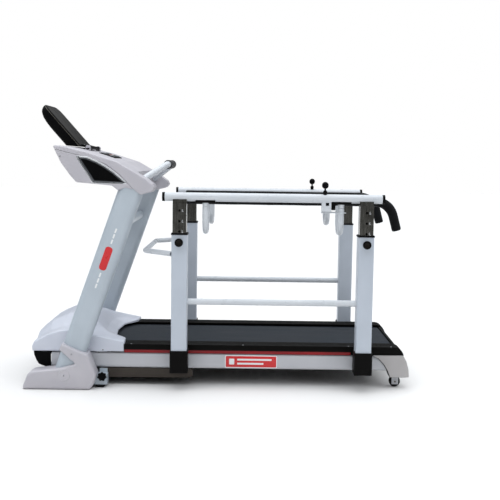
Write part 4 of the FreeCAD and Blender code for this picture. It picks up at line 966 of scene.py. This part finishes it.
def make_posts():
    """The outer posts, their sockets and collars with a bush for each height pin, and the pins' knobs."""
    for side, sign in SIDES:
        y = sign * POST_Y
        posts, sockets, collars = [], [], []
        for x in POSTS.values():
            posts.append(square_tube(x, y, 37.5, 34.5, 6.5, 92, 757))
            sockets.append(square_tube(x, y, 43, 37.7, 8, 90, 198, 1.4))
            sockets.append(flipped(boxed((x - 39, x + 39), (345.2, 378), (90, 160), 3), sign))
            collars.append(square_tube(x, y, 40, 32.7, 7, 756.9, 765, 2.2))
            collars.append(flipped(lathe(BUSH, (x, 0, PIN_Z)), sign))
        for parts, name, material, node in ((posts, "post", "post", "outer_posts"),
                                            (sockets, "socket", "black_paint", "post_sockets"),
                                            (collars, "collar", "black", "post_collars")):
            place(joined(*parts), f"{name}_pair_{side}", material, "deck", 30, [node] if sign < 0 else [])
        for end, x in POSTS.items():
            pin = f"height_pin_{end}_{side}"
            knob = lathe(KNOB, (x, 0, PIN_Z), "y", 60, lambda angle: 1 + 0.018 * cos(20 * angle))
            place(flipped(knob, sign), f"knob_{end}_{side}", "black", pin, 35, [pin])
            disc = lathe(KNOB_DISC, (x, 0, PIN_Z))
            place(flipped(disc, sign), f"knob_disc_{end}_{side}", "gloss", pin, 35)


def make_star_knobs():
    """Seven-lobed knobs at the rear end of the floor frame."""
    for side, sign in SIDES:
        body = f"star_knob_{side}"
        knob = lathe(STAR, STAR_AXIS, "y", 84, lambda angle: 1 + 0.11 * cos(7 * (angle - pi / 2)))
        place(flipped(knob, sign), f"star_grip_{side}", "black", body, 35, [body])


STUB = [(892, 12), (893, 13.6), (900, 13.9), (908, 14.4), (911, 17)]
BOOT = [(950, 13), (955, 12), (958, 8.6), (960.5, 8.4), (965, 10), (970, 9.6), (974, 7.2), (975.4, 4.2)]
PLUNGER = [(872.6, 3.2), (873.4, 4), (984, 4), (984.6, 8), (988, 12.2), (993, 15.2), (1000, 16), (1007, 14.6),
           (1012, 10.8), (1015, 5.6), (1015.9, 1)]
# distance in from the end of the handrail, radius
END_CAP = [(0, 14), (1.6, 18.6), (4.5, 21.2), (9, 21.9), (12.5, 21.9), (13, 20.6)]


def make_rail_fittings():
    """Brackets, lock blocks and plungers under each handrail, and the caps on its ends."""
    for side, sign in SIDES:
        y = sign * POST_Y
        rail = f"rail_{side}"
        dark, white = [], []
        for x in (-68, 579):
            dark.append(boxed((x - 47, x + 47), (y - 17.5, y + 17.5), (909, 922), 2.5))
            white.append(lathe(STUB, (x, y, 0), "z", 36))
        dark.append(boxed((532, 550), (y - 13, y + 13), (882, 924), 3))
        dark.append(boxed((504, 520), (y - 16.0, y + 16.0), (903, 917), 1.5))
        dark.append(lathe(BOOT, (PLUNGER_X, y, 0), "z", 32))
        white.append(boxed((485, 531), (y - 15, y + 15), (873, 924), 3.5))
        place(joined(*dark), f"rail_saddles_{side}", "black_paint", rail, 30, [f"rail_brackets_{side}"])
        place(joined(*white), f"rail_stubs_{side}", "rail", rail, 30)
        caps = [lathe([(end + inward * along, radius) for along, radius in END_CAP], (0, y, HANDRAIL_Z), "x")
                for end, inward in ((-273.4, 1), (786.4, -1))]
        place(joined(*caps), f"rail_caps_{side}", "black", rail, 30)
        place(lathe(PLUNGER, (PLUNGER_X, y, 0), "z"), f"plunger_knob_{side}", "black",
              f"lock_plunger_{side}", 40, [f"lock_plunger_{side}"])


def make_foam():
    """Foam sleeves of the inner bars, thinner towards the end of the down-turned grip."""
    for side, sign in SIDES:
        y = sign * INNER_BAR_Y
        bend = bent_path((-209, y, INNER_BAR_Z), (831, y, INNER_BAR_Z), (869.8, y, 778), 18)
        start = [bend[0] + Vector((d, 0, 0)) for d in (0, 0.6, 2, 5, 9)]
        middle = [Vector((x, y, INNER_BAR_Z)) for x in range(-180, int(bend[1].x) - 8, 30)]
        finish_run = [bend[-2].lerp(bend[-1], t) for t in (0.5, 0.8, 0.93, 0.985, 1)]
        path = start + middle + bend[1:-1] + finish_run

        def radius(share, length):
            at, left = share * length, (1 - share) * length
            full = 24.3 - 1.3 * max(0.0, min(1.0, (at - length + 190) / 150))
            full += 0.25 * sin(at / 31) + 0.15 * sin(at / 13.7)
            rounding = min(at, left)
            if rounding < 8:
                full -= 6 * (1 - sqrt(max(0.0, 1 - (1 - rounding / 8) ** 2)))
            return full

        piece = place(pipe(path, radius, 40), f"foam_sleeve_{side}", "foam", f"inner_bar_{side}", 50,
                      [f"foam_grip_{side}"])


HOLE_PITCH = 50


def make_post_marks():
    """Plain ticks beside the adjustment holes."""
    for side, sign in SIDES:
        marks = []
        for x in POSTS.values():
            for step in range(-4, 4):
                z = PIN_Z + HOLE_PITCH * step
                for low, high, width in ((-5.5, -3, 8), (-1.2, 1.2, 5), (3, 5.5, 5)):
                    tick = boxed((x + 11, x + 11 + width), (452.3, 452.9), (z + low, z + high), 0.25)
                    marks.append(flipped(tick, sign))
        place(joined(*marks), f"post_marks_{side}", "bright", f"rail_{side}", 30)


make_camera()
make_light()
make_floor()

make_console()
make_grilles()
make_keypad()
make_display()
make_handlebar_grip()
make_base_covers()
make_hood()
make_bumper()
make_rear_caps()
make_wheels()
make_step_rails()
make_badges()
make_mast_marks()
make_posts()
make_star_knobs()
make_rail_fittings()
make_foam()
make_post_marks()
screw_pair("console_screws", "base", [(439, 4.2), (440.7, 4.2), (441.2, 3.4), (440.8, 1.8), (440.7, 0.4)],
           (-755, 0, 1120))


# ---- materials of the CAD nodes that stay
PAINTED = {
    "mast": ["base_frame", "mast_frame"], "rail": ["side_bars", "brace_bar", "handlebar_tube"],
    "dark_frame": ["lift_frame"], "wood": ["deck_board"], "belt": ["walking_belt"], "red": ["accent_strips"],
    "motor": ["drive_motor"], "alloy": ["actuator_housing", "motor_controller"],
    "rubber": ["base_feet", "drive_belt"],
    "steel": ["cover_screws", "actuator_rod", "front_roller", "rear_roller", "motor_pulley"],
}
for name, nodes in PAINTED.items():
    for node in nodes:
        paint(node, name)
# the pivot ears under the deck take the lift frame's dark colour: painted shade, where they sit in the shadow
# under the deck
EAR_X, EAR_HALF, EAR_TOP = -0.15, 0.03, 0.0865
mesh = paint("deck_frame", "deck_rail", "dark_frame")
for face in mesh.polygons:
    if face.center.z < EAR_TOP and abs(face.center.x - EAR_X) < EAR_HALF:
        face.material_index = 1
CAP_LENGTH = 0.0085
for side, _ in SIDES:
    for end in POSTS:
        paint(f"hanger_{end}_{side}", "rail")
    paint(f"inner_bar_{side}", "rail")
    paint(f"inner_posts_{side}", "chrome")
    # the handrail tube is white and its two end caps are black
    mesh = paint(f"handrail_{side}", "rail", "black")
    low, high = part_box(f"handrail_{side}")
    for face in mesh.polygons:
        along = face.center.x
        if along < low.x + CAP_LENGTH or along > high.x - CAP_LENGTH:
            face.material_index = 1
